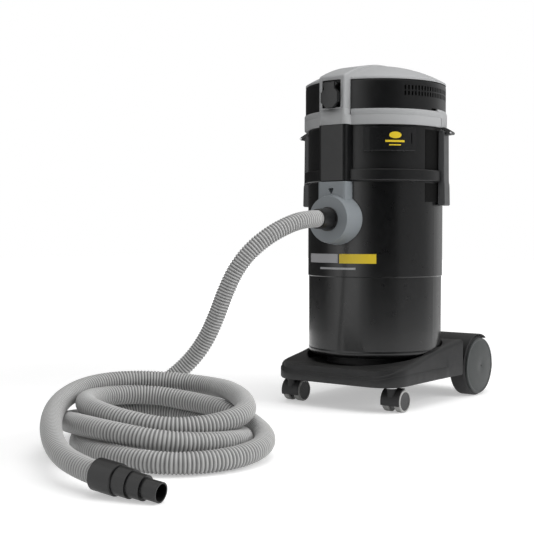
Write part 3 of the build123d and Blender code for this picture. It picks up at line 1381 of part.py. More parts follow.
with BuildPart() as adapter_cone:
    station = ADAPTER_CUFF_LENGTH
    for radius, length in ADAPTER_STEPS:
        with BuildSketch(adapter_plane.offset(station)):
            Circle(radius)
        extrude(amount=length)
        station += length
    station = ADAPTER_CUFF_LENGTH
    for radius, length in ADAPTER_STEPS:
        bore_plane = adapter_plane.offset(station - ADAPTER_WALL)
        with BuildSketch(bore_plane):
            Circle(radius - ADAPTER_WALL)
        extrude(amount=length, mode=Mode.SUBTRACT)
        station += length
    with BuildSketch(adapter_plane.offset(station - 2 * ADAPTER_WALL)):
        Circle(ADAPTER_STEPS[-1][0] - ADAPTER_WALL)
    extrude(amount=2 * ADAPTER_WALL, mode=Mode.SUBTRACT)
pieces["adapter_cone"] = adapter_cone

os.makedirs("parts", exist_ok=True)
for name, piece in pieces.items():
    piece.part.label = name
    export_step(piece.part, f"parts/{name}.step")
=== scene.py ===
"""Looks of the shop vacuum: its finishes, its ribbed hose, its small fittings and the studio round it."""

from math import atan2, cos, degrees, hypot, pi, radians, sin, sqrt

import bpy
import bmesh
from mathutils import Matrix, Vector


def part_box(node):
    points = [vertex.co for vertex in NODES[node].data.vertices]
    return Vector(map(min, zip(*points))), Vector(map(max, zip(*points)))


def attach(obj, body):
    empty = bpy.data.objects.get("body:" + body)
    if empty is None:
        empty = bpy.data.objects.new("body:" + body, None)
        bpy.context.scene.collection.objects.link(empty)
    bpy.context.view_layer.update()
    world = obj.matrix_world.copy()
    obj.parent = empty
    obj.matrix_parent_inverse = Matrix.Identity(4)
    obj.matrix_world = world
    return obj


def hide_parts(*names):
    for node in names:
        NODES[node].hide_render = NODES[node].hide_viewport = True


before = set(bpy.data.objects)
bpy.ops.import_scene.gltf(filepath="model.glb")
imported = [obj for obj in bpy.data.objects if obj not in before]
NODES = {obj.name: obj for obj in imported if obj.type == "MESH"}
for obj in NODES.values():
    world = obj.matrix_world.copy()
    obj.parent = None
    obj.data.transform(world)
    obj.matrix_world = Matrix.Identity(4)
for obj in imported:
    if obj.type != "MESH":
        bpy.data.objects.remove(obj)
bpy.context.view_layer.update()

bl_info = {
    "name": "Shop vacuum looks",
    "version": (1, 0, 0),
    "blender": (4, 5, 0),
    "location": "View3D > Sidebar > Shop vacuum",
    "description": "Finishes, ribbed hose, small fittings and studio for the shop vacuum",
    "category": "Object",
}

MM = 0.001

# Where things are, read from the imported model: metres first, then rounded millimetres
SEAL_LOW, SEAL_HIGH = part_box("chamber_seal")
COVER_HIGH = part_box("head_cover")[1]
TYRE_LOW, TYRE_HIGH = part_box("rear_tyre_left")
AXIS_Y = (SEAL_LOW.y + SEAL_HIGH.y) / 2
DRUM_R = round(SEAL_HIGH.x / MM, 1)
COVER_R = round(COVER_HIGH.x / MM, 1)
WHEEL_Y = round((TYRE_LOW.y + TYRE_HIGH.y) / 2 / MM, 2)
WHEEL_Z = TYRE_HIGH.z / 2 / MM


# ------------------------ sizes and colours
def length_setting(name, description, default):
    """A length that can be set."""
    return bpy.props.FloatProperty(
        name=name, description=description, default=default, subtype="DISTANCE", unit="LENGTH"
    )


def colour_setting(name, description, default):
    """A colour that can be set."""
    return bpy.props.FloatVectorProperty(
        name=name, description=description, default=default, subtype="COLOR", min=0, max=1
    )


def angle_setting(name, description, turn):
    """An angle that can be set, given in degrees."""
    return bpy.props.FloatProperty(name=name, description=description, default=radians(turn), subtype="ANGLE")


def strength_setting(name, description, default):
    """A strength of light that can be set."""
    return bpy.props.FloatProperty(name=name, description=description, default=default, min=0)


class HoseLooks(bpy.types.PropertyGroup):
    """Sizes and colour of the ribbed suction hose"""

    diameter: length_setting("Diameter", "Outside diameter over the ribs", 0.0408)
    pitch: length_setting("Rib pitch", "Distance from one rib to the next", 0.0070)
    depth: length_setting("Rib depth", "How deep the grooves between the ribs are", 0.0029)
    sides: bpy.props.IntProperty(name="Sides", description="Faces round the hose", default=24, min=8)
    colour: colour_setting("Colour", "Grey of the ribs", (0.56, 0.56, 0.555))
    # The groove grey is painted shade: it darkens the hose where the ribs sink, in place of the shade in the
    # grooves
    groove_shade: colour_setting("Groove shade", "Grey between the ribs", (0.11, 0.11, 0.11))


class BodyLooks(bpy.types.PropertyGroup):
    """Colours of the machine's plastics and paint"""

    drum: colour_setting("Drum paint", "Gloss paint of the steel drum", (0.0045, 0.0048, 0.0053))
    black: colour_setting("Black plastic", "Moulded black plastic", (0.0095, 0.0098, 0.0104))
    grey: colour_setting("Grey plastic", "Light grey plastic of the cap and the ring", (0.36, 0.365, 0.37))
    inlet: colour_setting("Inlet grey", "Blue-grey plastic of the inlet fitting", (0.215, 0.235, 0.25))
    tread: colour_setting("Caster tread", "Soft grey tread of the casters", (0.42, 0.42, 0.41))
    accent: colour_setting("Accent", "Yellow of the printed bars", (0.75, 0.55, 0.02))


class StudioLooks(bpy.types.PropertyGroup):
    """Camera and light of the studio"""

    lens: bpy.props.FloatProperty(
        name="Lens", description="Focal length", default=68.135, subtype="DISTANCE_CAMERA"
    )
    yaw: angle_setting("Yaw", "Turn of the camera about the vertical", 37.655)
    pitch: angle_setting("Pitch", "How far the camera looks down", 2.148)
    place: bpy.props.FloatVectorProperty(
        name="Camera place", description="Where the camera stands", default=(1.408, -2.322, 0.4176),
        subtype="TRANSLATION",
    )
    ambient: strength_setting("Ambient", "Strength of the even light", 0.42)
    cards: strength_setting("Cards", "How bright the cards look in gloss surfaces", 1.0)
    softboxes: strength_setting("Softboxes", "Strength of the lamps", 1.0)


# ------------------------ shader groups
def shader_group(name, inputs, outputs):
    """An empty shader node group: inputs with their defaults, and outputs of their kinds."""
    group = bpy.data.node_groups.new(name, "ShaderNodeTree")
    for label, default in inputs.items():
        socket = group.interface.new_socket(label, in_out="INPUT", socket_type="NodeSocketFloat")
        socket.default_value = default
    for label, kind in outputs.items():
        group.interface.new_socket(label, in_out="OUTPUT", socket_type=f"NodeSocket{kind}")
    return group, group.nodes.new("NodeGroupInput"), group.nodes.new("NodeGroupOutput")


def feed(tree, socket, value):
    """A socket takes a plain value, or what another socket gives."""
    if isinstance(value, bpy.types.NodeSocket):
        tree.links.new(value, socket)
    else:
        socket.default_value = value


def added(tree, kind, values=(), **settings):
    """A new node with its settings, and its inputs, by name or number, fed with values or sockets."""
    node = tree.nodes.new(kind)
    for name, setting in settings.items():
        setattr(node, name, setting)
    for label, value in dict(values).items():
        feed(tree, node.inputs[label], value)
    return node


def math_node(tree, operation, *values, clamp=False):
    """A Math node fed by sockets or numbers; gives its output socket."""
    return added(tree, "ShaderNodeMath", enumerate(values), operation=operation, use_clamp=clamp).outputs[0]


def times(tree, first, second, clamp=False):
    """The product of sockets or numbers."""
    return math_node(tree, "MULTIPLY", first, second, clamp=clamp)


def noise(tree, place, scale, detail, roughness):
    """A noise texture on given coordinates; gives its factor."""
    values = {"Vector": place, "Scale": scale, "Detail": detail, "Roughness": roughness}
    return added(tree, "ShaderNodeTexNoise", values).outputs[0]


def bare_tree(owner, output="ShaderNodeOutputMaterial"):
    """The emptied node tree of a material or a world, and its surface socket."""
    owner.use_nodes = True
    tree = owner.node_tree
    tree.nodes.clear()
    return tree, tree.nodes.new(output).inputs["Surface"]


def build_grain_group():
    """Moulded grain: a fine height, and slow changes of shade and gloss."""
    group, enter, leave = shader_group(
        "moulded_grain", {"Scale": 900.0, "Blotch": 9.0},
        {"Height": "Float", "Shade": "Float", "Gloss": "Float"},
    )
    place = group.nodes.new("ShaderNodeTexCoord").outputs["Object"]
    fine = noise(group, place, enter.outputs["Scale"], 2.0, 0.6)
    slow = noise(group, place, enter.outputs["Blotch"], 4.0, 0.55)
    middle = noise(group, place, times(group, enter.outputs["Blotch"], 6.0), 3.0, 0.5)
    shares = times(group, slow, 0.7), times(group, middle, 0.3)
    group.links.new(fine, leave.inputs["Height"])
    group.links.new(math_node(group, "ADD", *shares), leave.inputs["Shade"])
    group.links.new(middle, leave.inputs["Gloss"])


def build_wear_and_highlight_group():
    """Edges that are worn, and edges given a painted highlight: a mask along convex edges, broken up by
    noise.
    """
    group, enter, leave = shader_group(
        "edge_wear_and_highlight", {"Radius": 0.0015, "Amount": 0.5}, {"Mask": "Float", "Round": "Vector"}
    )
    bevel = added(group, "ShaderNodeBevel", {"Radius": enter.outputs["Radius"]}, samples=4)
    normals = bevel.outputs["Normal"], added(group, "ShaderNodeNewGeometry").outputs["Normal"]
    dot = added(group, "ShaderNodeVectorMath", enumerate(normals), operation="DOT_PRODUCT")
    edge = math_node(group, "SUBTRACT", 1.0, dot.outputs["Value"], clamp=True)
    place = group.nodes.new("ShaderNodeTexCoord").outputs["Object"]
    broken = math_node(group, "POWER", noise(group, place, 160.0, 4.0, 0.65), 2.0)
    strength = times(group, times(group, edge, 9.0), broken)
    mask = times(group, strength, enter.outputs["Amount"], clamp=True)
    group.links.new(mask, leave.inputs["Mask"])
    group.links.new(bevel.outputs["Normal"], leave.inputs["Round"])


def build_dust_group():
    """Dust that settles on faces that look up."""
    group, enter, leave = shader_group("settled_dust", {"Amount": 0.2}, {"Mask": "Float"})
    normal = added(group, "ShaderNodeNewGeometry").outputs["Normal"]
    split = added(group, "ShaderNodeSeparateXYZ", {0: normal})
    place = group.nodes.new("ShaderNodeTexCoord").outputs["Object"]
    wide, fine = noise(group, place, 14.0, 6.0, 0.7), noise(group, place, 420.0, 2.0, 0.6)
    patches = times(group, wide, fine)
    up = math_node(group, "POWER", math_node(group, "MAXIMUM", split.outputs["Z"], 0.0), 2.0)
    lying = times(group, patches, up)
    strength = times(group, lying, enter.outputs["Amount"])
    group.links.new(times(group, strength, 2.0, clamp=True), leave.inputs["Mask"])


def placed(tree, name, **values):
    """A shader group in a material, with its own values."""
    return added(tree, "ShaderNodeGroup", values, node_tree=bpy.data.node_groups[name])


def mix_colour(tree, factor, *colours):
    """A mix of two colours, which are sockets or plain colours."""
    values = {"Factor": factor}
    for slot, value in zip((6, 7), colours):
        values[slot] = value if isinstance(value, bpy.types.NodeSocket) else (*value, 1.0)
    return added(tree, "ShaderNodeMix", values, data_type="RGBA").outputs[2]


def shaded(colour, factor):
    """A colour made lighter or darker."""
    return tuple(min(1.0, channel * factor) for channel in colour)


# How much lighter the masked edges turn: rubbed wear on most finishes, and a painted highlight on the hub
# caps' rim bead
WEAR_AND_HIGHLIGHT_SHADE = 2.6
DUST_COLOUR = (0.32, 0.31, 0.29)
GLOSS_SPREAD = 0.07
RELIEF_DEPTH = 0.0004


def finish(name, colour, roughness, grain=900.0, bump=0.12, spread=0.12, wear_and_highlight=0.25, dust=0.1, metal=0.0,
           coat=0.0, round_edge=0.0009, specular=0.5):
    """A material of one of the machine's finishes."""
    material = bpy.data.materials.new(name)
    tree, surface = bare_tree(material)
    skin = added(tree, "ShaderNodeBsdfPrincipled", {
        "Metallic": metal, "Specular IOR Level": specular, "Coat Weight": coat, "Coat Roughness": 0.12,
    })
    tree.links.new(skin.outputs[0], surface)
    texture = placed(tree, "moulded_grain", Scale=grain, Blotch=9.0)
    edges = placed(tree, "edge_wear_and_highlight", Radius=round_edge, Amount=wear_and_highlight)
    settled = placed(tree, "settled_dust", Amount=dust)
    base = mix_colour(tree, texture.outputs["Shade"], shaded(colour, 1 - spread), shaded(colour, 1 + spread))
    worn_and_highlit = mix_colour(tree, edges.outputs["Mask"], base, shaded(colour, WEAR_AND_HIGHLIGHT_SHADE))
    dusty = mix_colour(tree, settled.outputs["Mask"], worn_and_highlit, DUST_COLOUR)
    tree.links.new(dusty, skin.inputs["Base Color"])
    gloss = added(tree, "ShaderNodeMapRange", {
        "Value": texture.outputs["Gloss"],
        "To Min": max(0.03, roughness - GLOSS_SPREAD), "To Max": min(1.0, roughness + GLOSS_SPREAD),
    })
    dull = times(tree, settled.outputs["Mask"], 0.4)
    tree.links.new(math_node(tree, "ADD", gloss.outputs[0], dull, clamp=True), skin.inputs["Roughness"])
    relief = added(tree, "ShaderNodeBump", {
        "Strength": bump, "Distance": RELIEF_DEPTH,
        "Height": texture.outputs["Height"], "Normal": edges.outputs["Round"],
    })
    tree.links.new(relief.outputs[0], skin.inputs["Normal"])
    return material


def both(stem):
    """The names of a left and a right node."""
    return f"{stem}_left", f"{stem}_right"


# What each carried-over node is made of
CASTER_WHEELS = [f"{side}_{row}" for side in ("left", "right") for row in ("outer", "inner")]
DRESSES = {
    "drum_paint": ("tank_shell",),
    "black_plastic": (
        "filter_chamber", "head_cover", "hose_cuff", "adapter_cuff", "adapter_cone", "socket_body",
        "switch_bezel", "switch_rocker", "inlet_deflector", "filter_plate", "filter_cage", "impeller",
        "cooling_fan",
    ),
    "gloss_black": (
        "label_plate", "socket_flap", "cable_gland", *(f"caster_disc_{at}" for at in CASTER_WHEELS),
    ),
    "lever_plastic": both("latch_lever"),
    "soft_black": ("trolley_chassis", *both("caster_hood")),
    "hub_plastic": (*both("rear_hub"), *both("hub_cap")),
    "tread_rubber": [f"caster_tread_{at}" for at in CASTER_WHEELS],
    "tyre_rubber": (*both("rear_tyre"), "chamber_seal", "inlet_gasket"),
    "grey_plastic": ("head_ring", "top_cap", "float_cup", "motor_housing"),
    "inlet_plastic": ("inlet_fitting",),
    "filter_fleece": ("filter_cartridge",),
    "copper_winding": ("motor_stator", "motor_rotor"),
    "bare_steel": (
        "latch_pins", "flap_pin", "flap_spring", "tank_screws", "rear_axle", "axle_clips",
        *both("caster_stem"), *both("caster_axle"),
    ),
}


class VACUUM_OT_finishes(bpy.types.Operator):
    """Make the finishes and put them on the carried-over nodes"""

    bl_idname = "vacuum.finishes"
    bl_label = "Finishes"

    def execute(self, context):
        looks = context.scene.vacuum_body
        build_grain_group()
        build_wear_and_highlight_group()
        build_dust_group()
        clean = {"bump": 0.05, "spread": 0.04, "wear_and_highlight": 0.0, "dust": 0.03}
        pale = {"grain": 1400.0, "bump": 0.2, "spread": 0.05, "wear_and_highlight": 0.1, "dust": 0.05}
        finish("drum_paint", shaded(looks.drum, 0.7), 0.3, grain=260.0, bump=0.05, spread=0.06, wear_and_highlight=0.03,
               dust=0.0, coat=0.3)
        finish("black_plastic", shaded(looks.black, 0.6), 0.34, grain=1500.0, bump=0.22)
        finish("soft_black", tuple(looks.black), 0.55, grain=1100.0, bump=0.3, wear_and_highlight=0.2)
        finish("gloss_black", shaded(looks.black, 0.9), 0.25, grain=1600.0, bump=0.08, wear_and_highlight=0.15)
        finish("grey_plastic", tuple(looks.grey), 0.48, **pale)
        finish("inlet_plastic", tuple(looks.inlet), 0.42, **pale)
        finish("tread_rubber", tuple(looks.tread), 0.6, grain=800.0, bump=0.15, spread=0.05, wear_and_highlight=0.0)
        finish("tyre_rubber", (0.016, 0.016, 0.017), 0.6, grain=700.0, bump=0.3, wear_and_highlight=0.1)
        finish("bare_steel", (0.55, 0.55, 0.56), 0.3, grain=500.0, bump=0.08, wear_and_highlight=0.0, metal=1.0)
        finish("filter_fleece", (0.62, 0.6, 0.55), 0.85, grain=500.0, bump=0.5, wear_and_highlight=0.0)
        # The hub caps' strong edge lightening is a painted highlight along the rim's raised bead
        finish("hub_plastic", (0.04, 0.044, 0.044), 0.5, grain=1100.0, bump=0.25, wear_and_highlight=0.9, round_edge=0.0022)
        finish("lever_plastic", (0.036, 0.037, 0.039), 0.4, grain=1500.0, bump=0.2, wear_and_highlight=0.4)
        # The near-black matte of the painted shade beside the levers and behind the vents
        finish("painted_shade_black", (0.003, 0.003, 0.003), 0.7, bump=0.2, wear_and_highlight=0.0, dust=0.0, specular=0.2)
        finish("pale_print", (0.42, 0.42, 0.43), 0.35, grain=1800.0, **clean)
        finish("yellow_print", tuple(looks.accent), 0.35, grain=1800.0, **clean)
        finish("copper_winding", (0.6, 0.25, 0.1), 0.4, metal=1.0)
        for material, names in DRESSES.items():
            for name in names:
                data = NODES[name].data
                data.materials.clear()
                data.materials.append(bpy.data.materials[material])
        return {"FINISHED"}


# ------------------------ making meshes
WELD = 1e-6


def in_scene(name, data):
    """A new object in the scene."""
    thing = bpy.data.objects.new(name, data)
    bpy.context.scene.collection.objects.link(thing)
    return thing


def new_piece(name, mesh, material, body="machine"):
    """A finished mesh becomes a piece that rides on a body."""
    mesh.name = name
    piece = in_scene(name, mesh)
    mesh.materials.clear()
    mesh.materials.append(bpy.data.materials[material])
    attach(piece, body)
    return piece


def modified(source, add_modifiers, keep_layers=False):
    """The plain mesh after modifiers, made on a holder that is then taken away."""
    holder = in_scene("holder", source)
    add_modifiers(holder)
    graph = bpy.context.evaluated_depsgraph_get()
    mesh = bpy.data.meshes.new_from_object(
        holder.evaluated_get(graph), preserve_all_data_layers=keep_layers, depsgraph=graph
    )
    bpy.data.objects.remove(holder)
    return mesh


def tightened(shape):
    """A closed form's doubles are welded, and its faces point outwards."""
    bmesh.ops.remove_doubles(shape, verts=shape.verts, dist=WELD)
    bmesh.ops.recalc_face_normals(shape, faces=shape.faces)


def meshed(shape):
    """The mesh of a form that isn't needed any more."""
    mesh = bpy.data.meshes.new("form")
    shape.to_mesh(mesh)
    shape.free()
    return mesh


# ------------------------ hose
# The hose's line in millimetres. The turns' reaches and heights, an eighth of a turn apart, the tail and
# the ends of the hanging part are rounded results of a least-squares fit.
HANGING = (
    (0, -304.25, 458), (0, -349.25, 457), (-9, -397, 446), (-30, -442, 423), (-58, -477, 389),
    (-86, -499, 345), (-108, -510, 294), (-129, -515, 241), (-153, -520, 189), (-182, -531, 143),
    (-214, -552, 104), (-246, -583, 72), (-274, -624, 47), (-291, -672, 30), (-294, -724, 22.5),
    (-274, -778, 25),
)
TAIL = (
    (-177, -924, 98), (-130, -995, 88), (-75, -1054, 75), (-18, -1101, 61), (42, -1137, 47),
    (106, -1158, 37.5), (168, -1166, 33),
)
COIL_CENTRE = (-28, -815)
COIL_START, COIL_END, COIL_STEP = 188.0, 1270.0, 45.0
TURN_POINTS = 14
COIL_REACH = (
    210, 178, 207, 247, 207, 114, 130, 150, 149, 155, 213, 293, 257, 136, 107, 120, 138, 148, 162, 198, 203,
    154, 165, 175, 179, 178,
)
COIL_RISE = (
    34, 55, 68, 49, 33, 19, 37, 48, 41, 21, 28, 21, 30, 64, 73, 83, 87, 91, 84, 66, 78, 99, 99, 108, 107, 86,
)


def eased(values, place):
    """A value between the keys of a list, on a smooth line through them."""
    last = len(values) - 1
    i = min(int(place), last - 1)
    t = place - i
    before, start, end, after = (values[max(0, min(last, i + k))] for k in (-1, 0, 1, 2))
    return 0.5 * (
        2 * start + (end - before) * t + (2 * before - 5 * start + 4 * end - after) * t**2
        + (3 * start - before - 3 * end + after) * t**3
    )


def coil_points():
    """The loose turns: each eighth of a turn has its own reach from the middle and its own height."""
    steps = round((COIL_END - COIL_START) / 360 * TURN_POINTS)
    turns = []
    for step in range(steps + 1):
        angle = COIL_START + (COIL_END - COIL_START) * step / steps
        key = (angle - COIL_START) / COIL_STEP
        reach = eased(COIL_REACH, key)
        turns.append((
            COIL_CENTRE[0] + reach * cos(radians(angle)),
            COIL_CENTRE[1] + reach * sin(radians(angle)),
            eased(COIL_RISE, key),
        ))
    return turns


def hose_route():
    """The hose's own line: one smooth spline from the inlet through the coil to the adapter."""
    curve = bpy.data.curves.new("hose_route", "CURVE")
    curve.dimensions = "3D"
    curve.resolution_u = 12
    spline = curve.splines.new("NURBS")
    points = [*HANGING, *coil_points(), *TAIL]
    spline.points.add(len(points) - 1)
    for point, place in zip(spline.points, points):
        point.co = (place[0] * MM, place[1] * MM, place[2] * MM, 1.0)
    spline.order_u = 3
    spline.use_endpoint_u = True
    return curve


def rib_tree():
    """Geometry nodes that turn a line into a ribbed hose."""
    tree = bpy.data.node_groups.new("ribbed_hose", "GeometryNodeTree")
    face = tree.interface
    face.new_socket("Geometry", in_out="INPUT", socket_type="NodeSocketGeometry")
    for label, kind, value in (
        ("Radius", "Float", 0.0204), ("Pitch", "Float", 0.0070), ("Depth", "Float", 0.0029),
        ("Sides", "Int", 24), ("Steps", "Float", 5.0),
    ):
        face.new_socket(label, in_out="INPUT", socket_type=f"NodeSocket{kind}").default_value = value
    face.new_socket("Finish", in_out="INPUT", socket_type="NodeSocketMaterial")
    face.new_socket("Geometry", in_out="OUTPUT", socket_type="NodeSocketGeometry")
    given, leave = added(tree, "NodeGroupInput").outputs, added(tree, "NodeGroupOutput")
    apart = math_node(tree, "DIVIDE", given["Pitch"], given["Steps"])
    line = {"Curve": given["Geometry"], "Length": apart}
    fine = added(tree, "GeometryNodeResampleCurve", line, mode="LENGTH")
    along = added(tree, "GeometryNodeSplineParameter").outputs["Length"]
    turn = times(tree, math_node(tree, "DIVIDE", along, given["Pitch"]), 2 * pi)
    wave = math_node(tree, "MULTIPLY_ADD", math_node(tree, "COSINE", turn), 0.5, 0.5)
    crest = math_node(tree, "POWER", wave, 0.7)
    sunk = times(tree, math_node(tree, "SUBTRACT", 1.0, crest), given["Depth"])
    reach = math_node(tree, "SUBTRACT", given["Radius"], sunk)
    ribs = {"Name": "crest", "Geometry": fine.outputs[0], "Value": crest}
    mark = added(tree, "GeometryNodeStoreNamedAttribute", ribs, data_type="FLOAT", domain="POINT")
    ring = added(tree, "GeometryNodeCurvePrimitiveCircle", {"Resolution": given["Sides"], "Radius": 1.0})
    tube = added(tree, "GeometryNodeCurveToMesh", {
        "Fill Caps": True, "Curve": mark.outputs[0], "Profile Curve": ring.outputs[0], "Scale": reach,
    })
    smooth = added(tree, "GeometryNodeSetShadeSmooth", {"Geometry": tube.outputs[0]})
    plain = added(tree, "GeometryNodeRealizeInstances", {0: smooth.outputs[0]})
    dressed = {"Geometry": plain.outputs[0], "Material": given["Finish"]}
    paint = added(tree, "GeometryNodeSetMaterial", dressed)
    tree.links.new(paint.outputs[0], leave.inputs[0])
    return tree


def through_nodes(source, tree, **values):
    """The plain mesh that a geometry node tree makes from an object."""

    def add_nodes(holder):
        modifier = holder.modifiers.new("nodes", "NODES")
        modifier.node_group = tree
        for item in tree.interface.items_tree:
            if item.item_type == "SOCKET" and item.in_out == "INPUT" and item.name in values:
                modifier[item.identifier] = values[item.name]

    return modified(source, add_nodes, keep_layers=True)


def outward_normals(mesh):
    """Faces of a closed mesh point outwards."""
    shape = bmesh.new()
    shape.from_mesh(mesh)
    tightened(shape)
    shape.to_mesh(mesh)
    shape.free()


def paint_groove_shade(material, groove_shade):
    """Painted shade: the finish turns darker where the ribs are low, for the shade that falls in the grooves.
    """
    tree = material.node_tree
    skin = next(node for node in tree.nodes if node.type == "BSDF_PRINCIPLED")
    crest = added(tree, "ShaderNodeAttribute", attribute_name="crest")
    ribs = skin.inputs["Base Color"].links[0].from_socket
    tree.links.new(mix_colour(tree, crest.outputs["Fac"], tuple(groove_shade), ribs), skin.inputs["Base Color"])


class VACUUM_OT_hose(bpy.types.Operator):
    """Lay the ribbed suction hose"""

    bl_idname = "vacuum.hose"
    bl_label = "Suction hose"

    def execute(self, context):
        looks = context.scene.vacuum_hose
        plastic = finish("hose_plastic", tuple(looks.colour), 0.42, bump=0.1, spread=0.06, wear_and_highlight=0.0,
                         dust=0.05, round_edge=0.0001)
        # Painted shade in the grooves between the ribs
        paint_groove_shade(plastic, looks.groove_shade)
        route = hose_route()
        line = bpy.data.objects.new("hose_line", route)
        path = [tuple(point.co) for point in bpy.data.meshes.new_from_object(line).vertices]
        mesh = through_nodes(
            route, rib_tree(), Radius=looks.diameter / 2, Pitch=looks.pitch, Depth=looks.depth,
            Sides=looks.sides, Finish=plastic,
        )
        bpy.data.objects.remove(line)
        outward_normals(mesh)
        hose = new_piece("hose", mesh, "hose_plastic")
        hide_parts("hose_tube", "hose_coil", "hose_tail")
        return {"FINISHED"}


# ------------------------ forms round the drum, in millimetres
LATCHES = {"right": 103.0, "left": -77.0}


def around(radius, angle, height):
    """A place by its radius from the drum's axis, angle from the front towards the right, and height."""
    turn = radians(angle)
    return Vector((radius * sin(turn) * MM, AXIS_Y - radius * cos(turn) * MM, height * MM))


def profiled(angle, profile):
    """The places of a profile of (radius, height) at an angle."""
    return [around(radius, angle, height) for radius, height in profile]


def spaced(start, end, most):
    """Values from start to end, none further apart than the most allowed."""
    count = max(1, round((end - start) / most))
    return [start + (end - start) * i / count for i in range(count + 1)]


def smoothed(mesh, crease=35):
    """Smooth shading that stops at edges sharper than the crease."""
    mesh.polygons.foreach_set("use_smooth", [True] * len(mesh.polygons))
    mesh.set_sharp_from_angle(angle=radians(crease))
    return mesh


def skinned(loops, closed=False, crease=35):
    """A closed mesh through equal loops of places, capped at its ends unless it comes back to its start."""
    shape = bmesh.new()
    rows = [[shape.verts.new(place) for place in loop] for loop in loops]
    for first, second in zip(rows, rows[1:] + (rows[:1] if closed else [])):
        for i in range(len(first)):
            j = (i + 1) % len(first)
            shape.faces.new((first[i], first[j], second[j], second[i]))
    if not closed:
        shape.faces.new(rows[0])
        shape.faces.new(rows[-1])
    tightened(shape)
    return smoothed(meshed(shape), crease)


def wrapped(start, end, profile, step=1.5):
    """A block with one profile of (radius, height) all along an arc round the drum."""
    return skinned([profiled(angle, profile) for angle in spaced(start, end, step)])


def in_plane(side, reach, across, height):
    """A place in a latch's own plane: its reach from the drum's axis, how far across, and its height."""
    out = around(1, LATCHES[side], 0) - around(0, LATCHES[side], 0)
    along = Vector((-out.y, out.x, 0))
    return around(0, 0, height) + along * across + out * reach


def reshaped(node, move):
    """A welded copy of a carried-over node, each of its points moved by a rule."""
    shape = bmesh.new()
    shape.from_mesh(NODES[node].data)
    bmesh.ops.remove_doubles(shape, verts=shape.verts, dist=WELD)
    for point in shape.verts:
        point.co = move(point.co)
    bmesh.ops.dissolve_degenerate(shape, edges=shape.edges, dist=1e-5)

    def weigh(holder):
        modifier = holder.modifiers.new("normals", "WEIGHTED_NORMAL")
        modifier.keep_sharp = True
        modifier.weight = 100

    return modified(smoothed(meshed(shape)), weigh)


def thickened(mesh, wall):
    """A skin with a wall on its inner side."""

    def solidify(holder):
        modifier = holder.modifiers.new("wall", "SOLIDIFY")
        modifier.thickness = wall * MM
        modifier.offset = -1
        modifier.use_even_offset = True

    return smoothed(modified(mesh, solidify))


# ------------------------ head
RING_R, RING_BOTTOM, LUG_HALF = 179.5, 684.0, 26.0
CAP_BASE, CAP_SQUASH = 792.0, 0.9
# Height and radius up the cover's wall, and which of the steps between them are open
COVER_ROWS = (
    (721, COVER_R), (727, COVER_R), (753.5, COVER_R), (764.5, COVER_R), (767, COVER_R), (778, COVER_R),
    (786, COVER_R), (789.5, COVER_R - 0.8), (791.4, COVER_R - 2.2), (792, COVER_R - 4),
)
NOTCH_ROW, NOTCH_HALF = 0, 21.3
VENT_ROWS, VENT_HALF = (2, 4), 0.76
VENT_START, VENT_END, VENT_PITCH = 55.5, 165.0, 3.1
SPINE_HALF = 12.2
COVER_WALL = 3.0
# Painted shade: a dark sheet behind the vents, standing in for the shade inside the head
VENT_SHADE_ARC = (45.0, 315.0)
VENT_SHADE_PROFILE = ((168.5, 748), (169.5, 748), (169.5, 786), (168.5, 786))
# The ring's smooth outer face, between the spine and the two lugs
SKIN_ARCS = ((12.8, 94.0), (112.0, 274.0), (-68.0, -12.8))
SKIN_PROFILE = (
    (176.5, 684.5), (178.8, 683.3), (179.8, 684.6), (179.8, 704.8), (179.3, 705.8), (179.8, 706.8),
    (179.8, 718.6), (178.9, 720.6), (176.5, 721.6),
)
# The flap's outline by place across and height, and its layers by reach and share of the outline
FLAP_OUTLINE = (
    (-10, 722.5), (10, 722.5), (25, 737.5), (25, 759.5), (15.7, 768.8), (15.7, 785.5),
    (-15.7, 785.5), (-15.7, 768.8), (-25, 759.5), (-25, 737.5),
)
FLAP_MIDDLE = 750.0
FLAP_LAYERS = ((199.6, 1.0), (206.5, 1.0), (208.8, 0.975), (209.8, 0.93), (210.0, 0.86))


def bearing_of(point):
    """Radius in millimetres and angle from the front of a place."""
    return hypot(point.x, point.y - AXIS_Y) / MM, degrees(atan2(point.x, AXIS_Y - point.y))


def without_lugs(point):
    """The ring's points, with its outer lugs drawn in to the ring beside the latches."""
    radius, angle = bearing_of(point)
    if all(abs(angle - latch) > LUG_HALF for latch in LATCHES.values()):
        return point
    return around(min(radius, RING_R), angle, max(point.z / MM, RING_BOTTOM))


def lower_dome(point):
    """The cap's points, with all above its rim a little lower."""
    height = point.z / MM
    if height > CAP_BASE:
        height = CAP_BASE + (height - CAP_BASE) * CAP_SQUASH
    return Vector((point.x, point.y, height * MM))


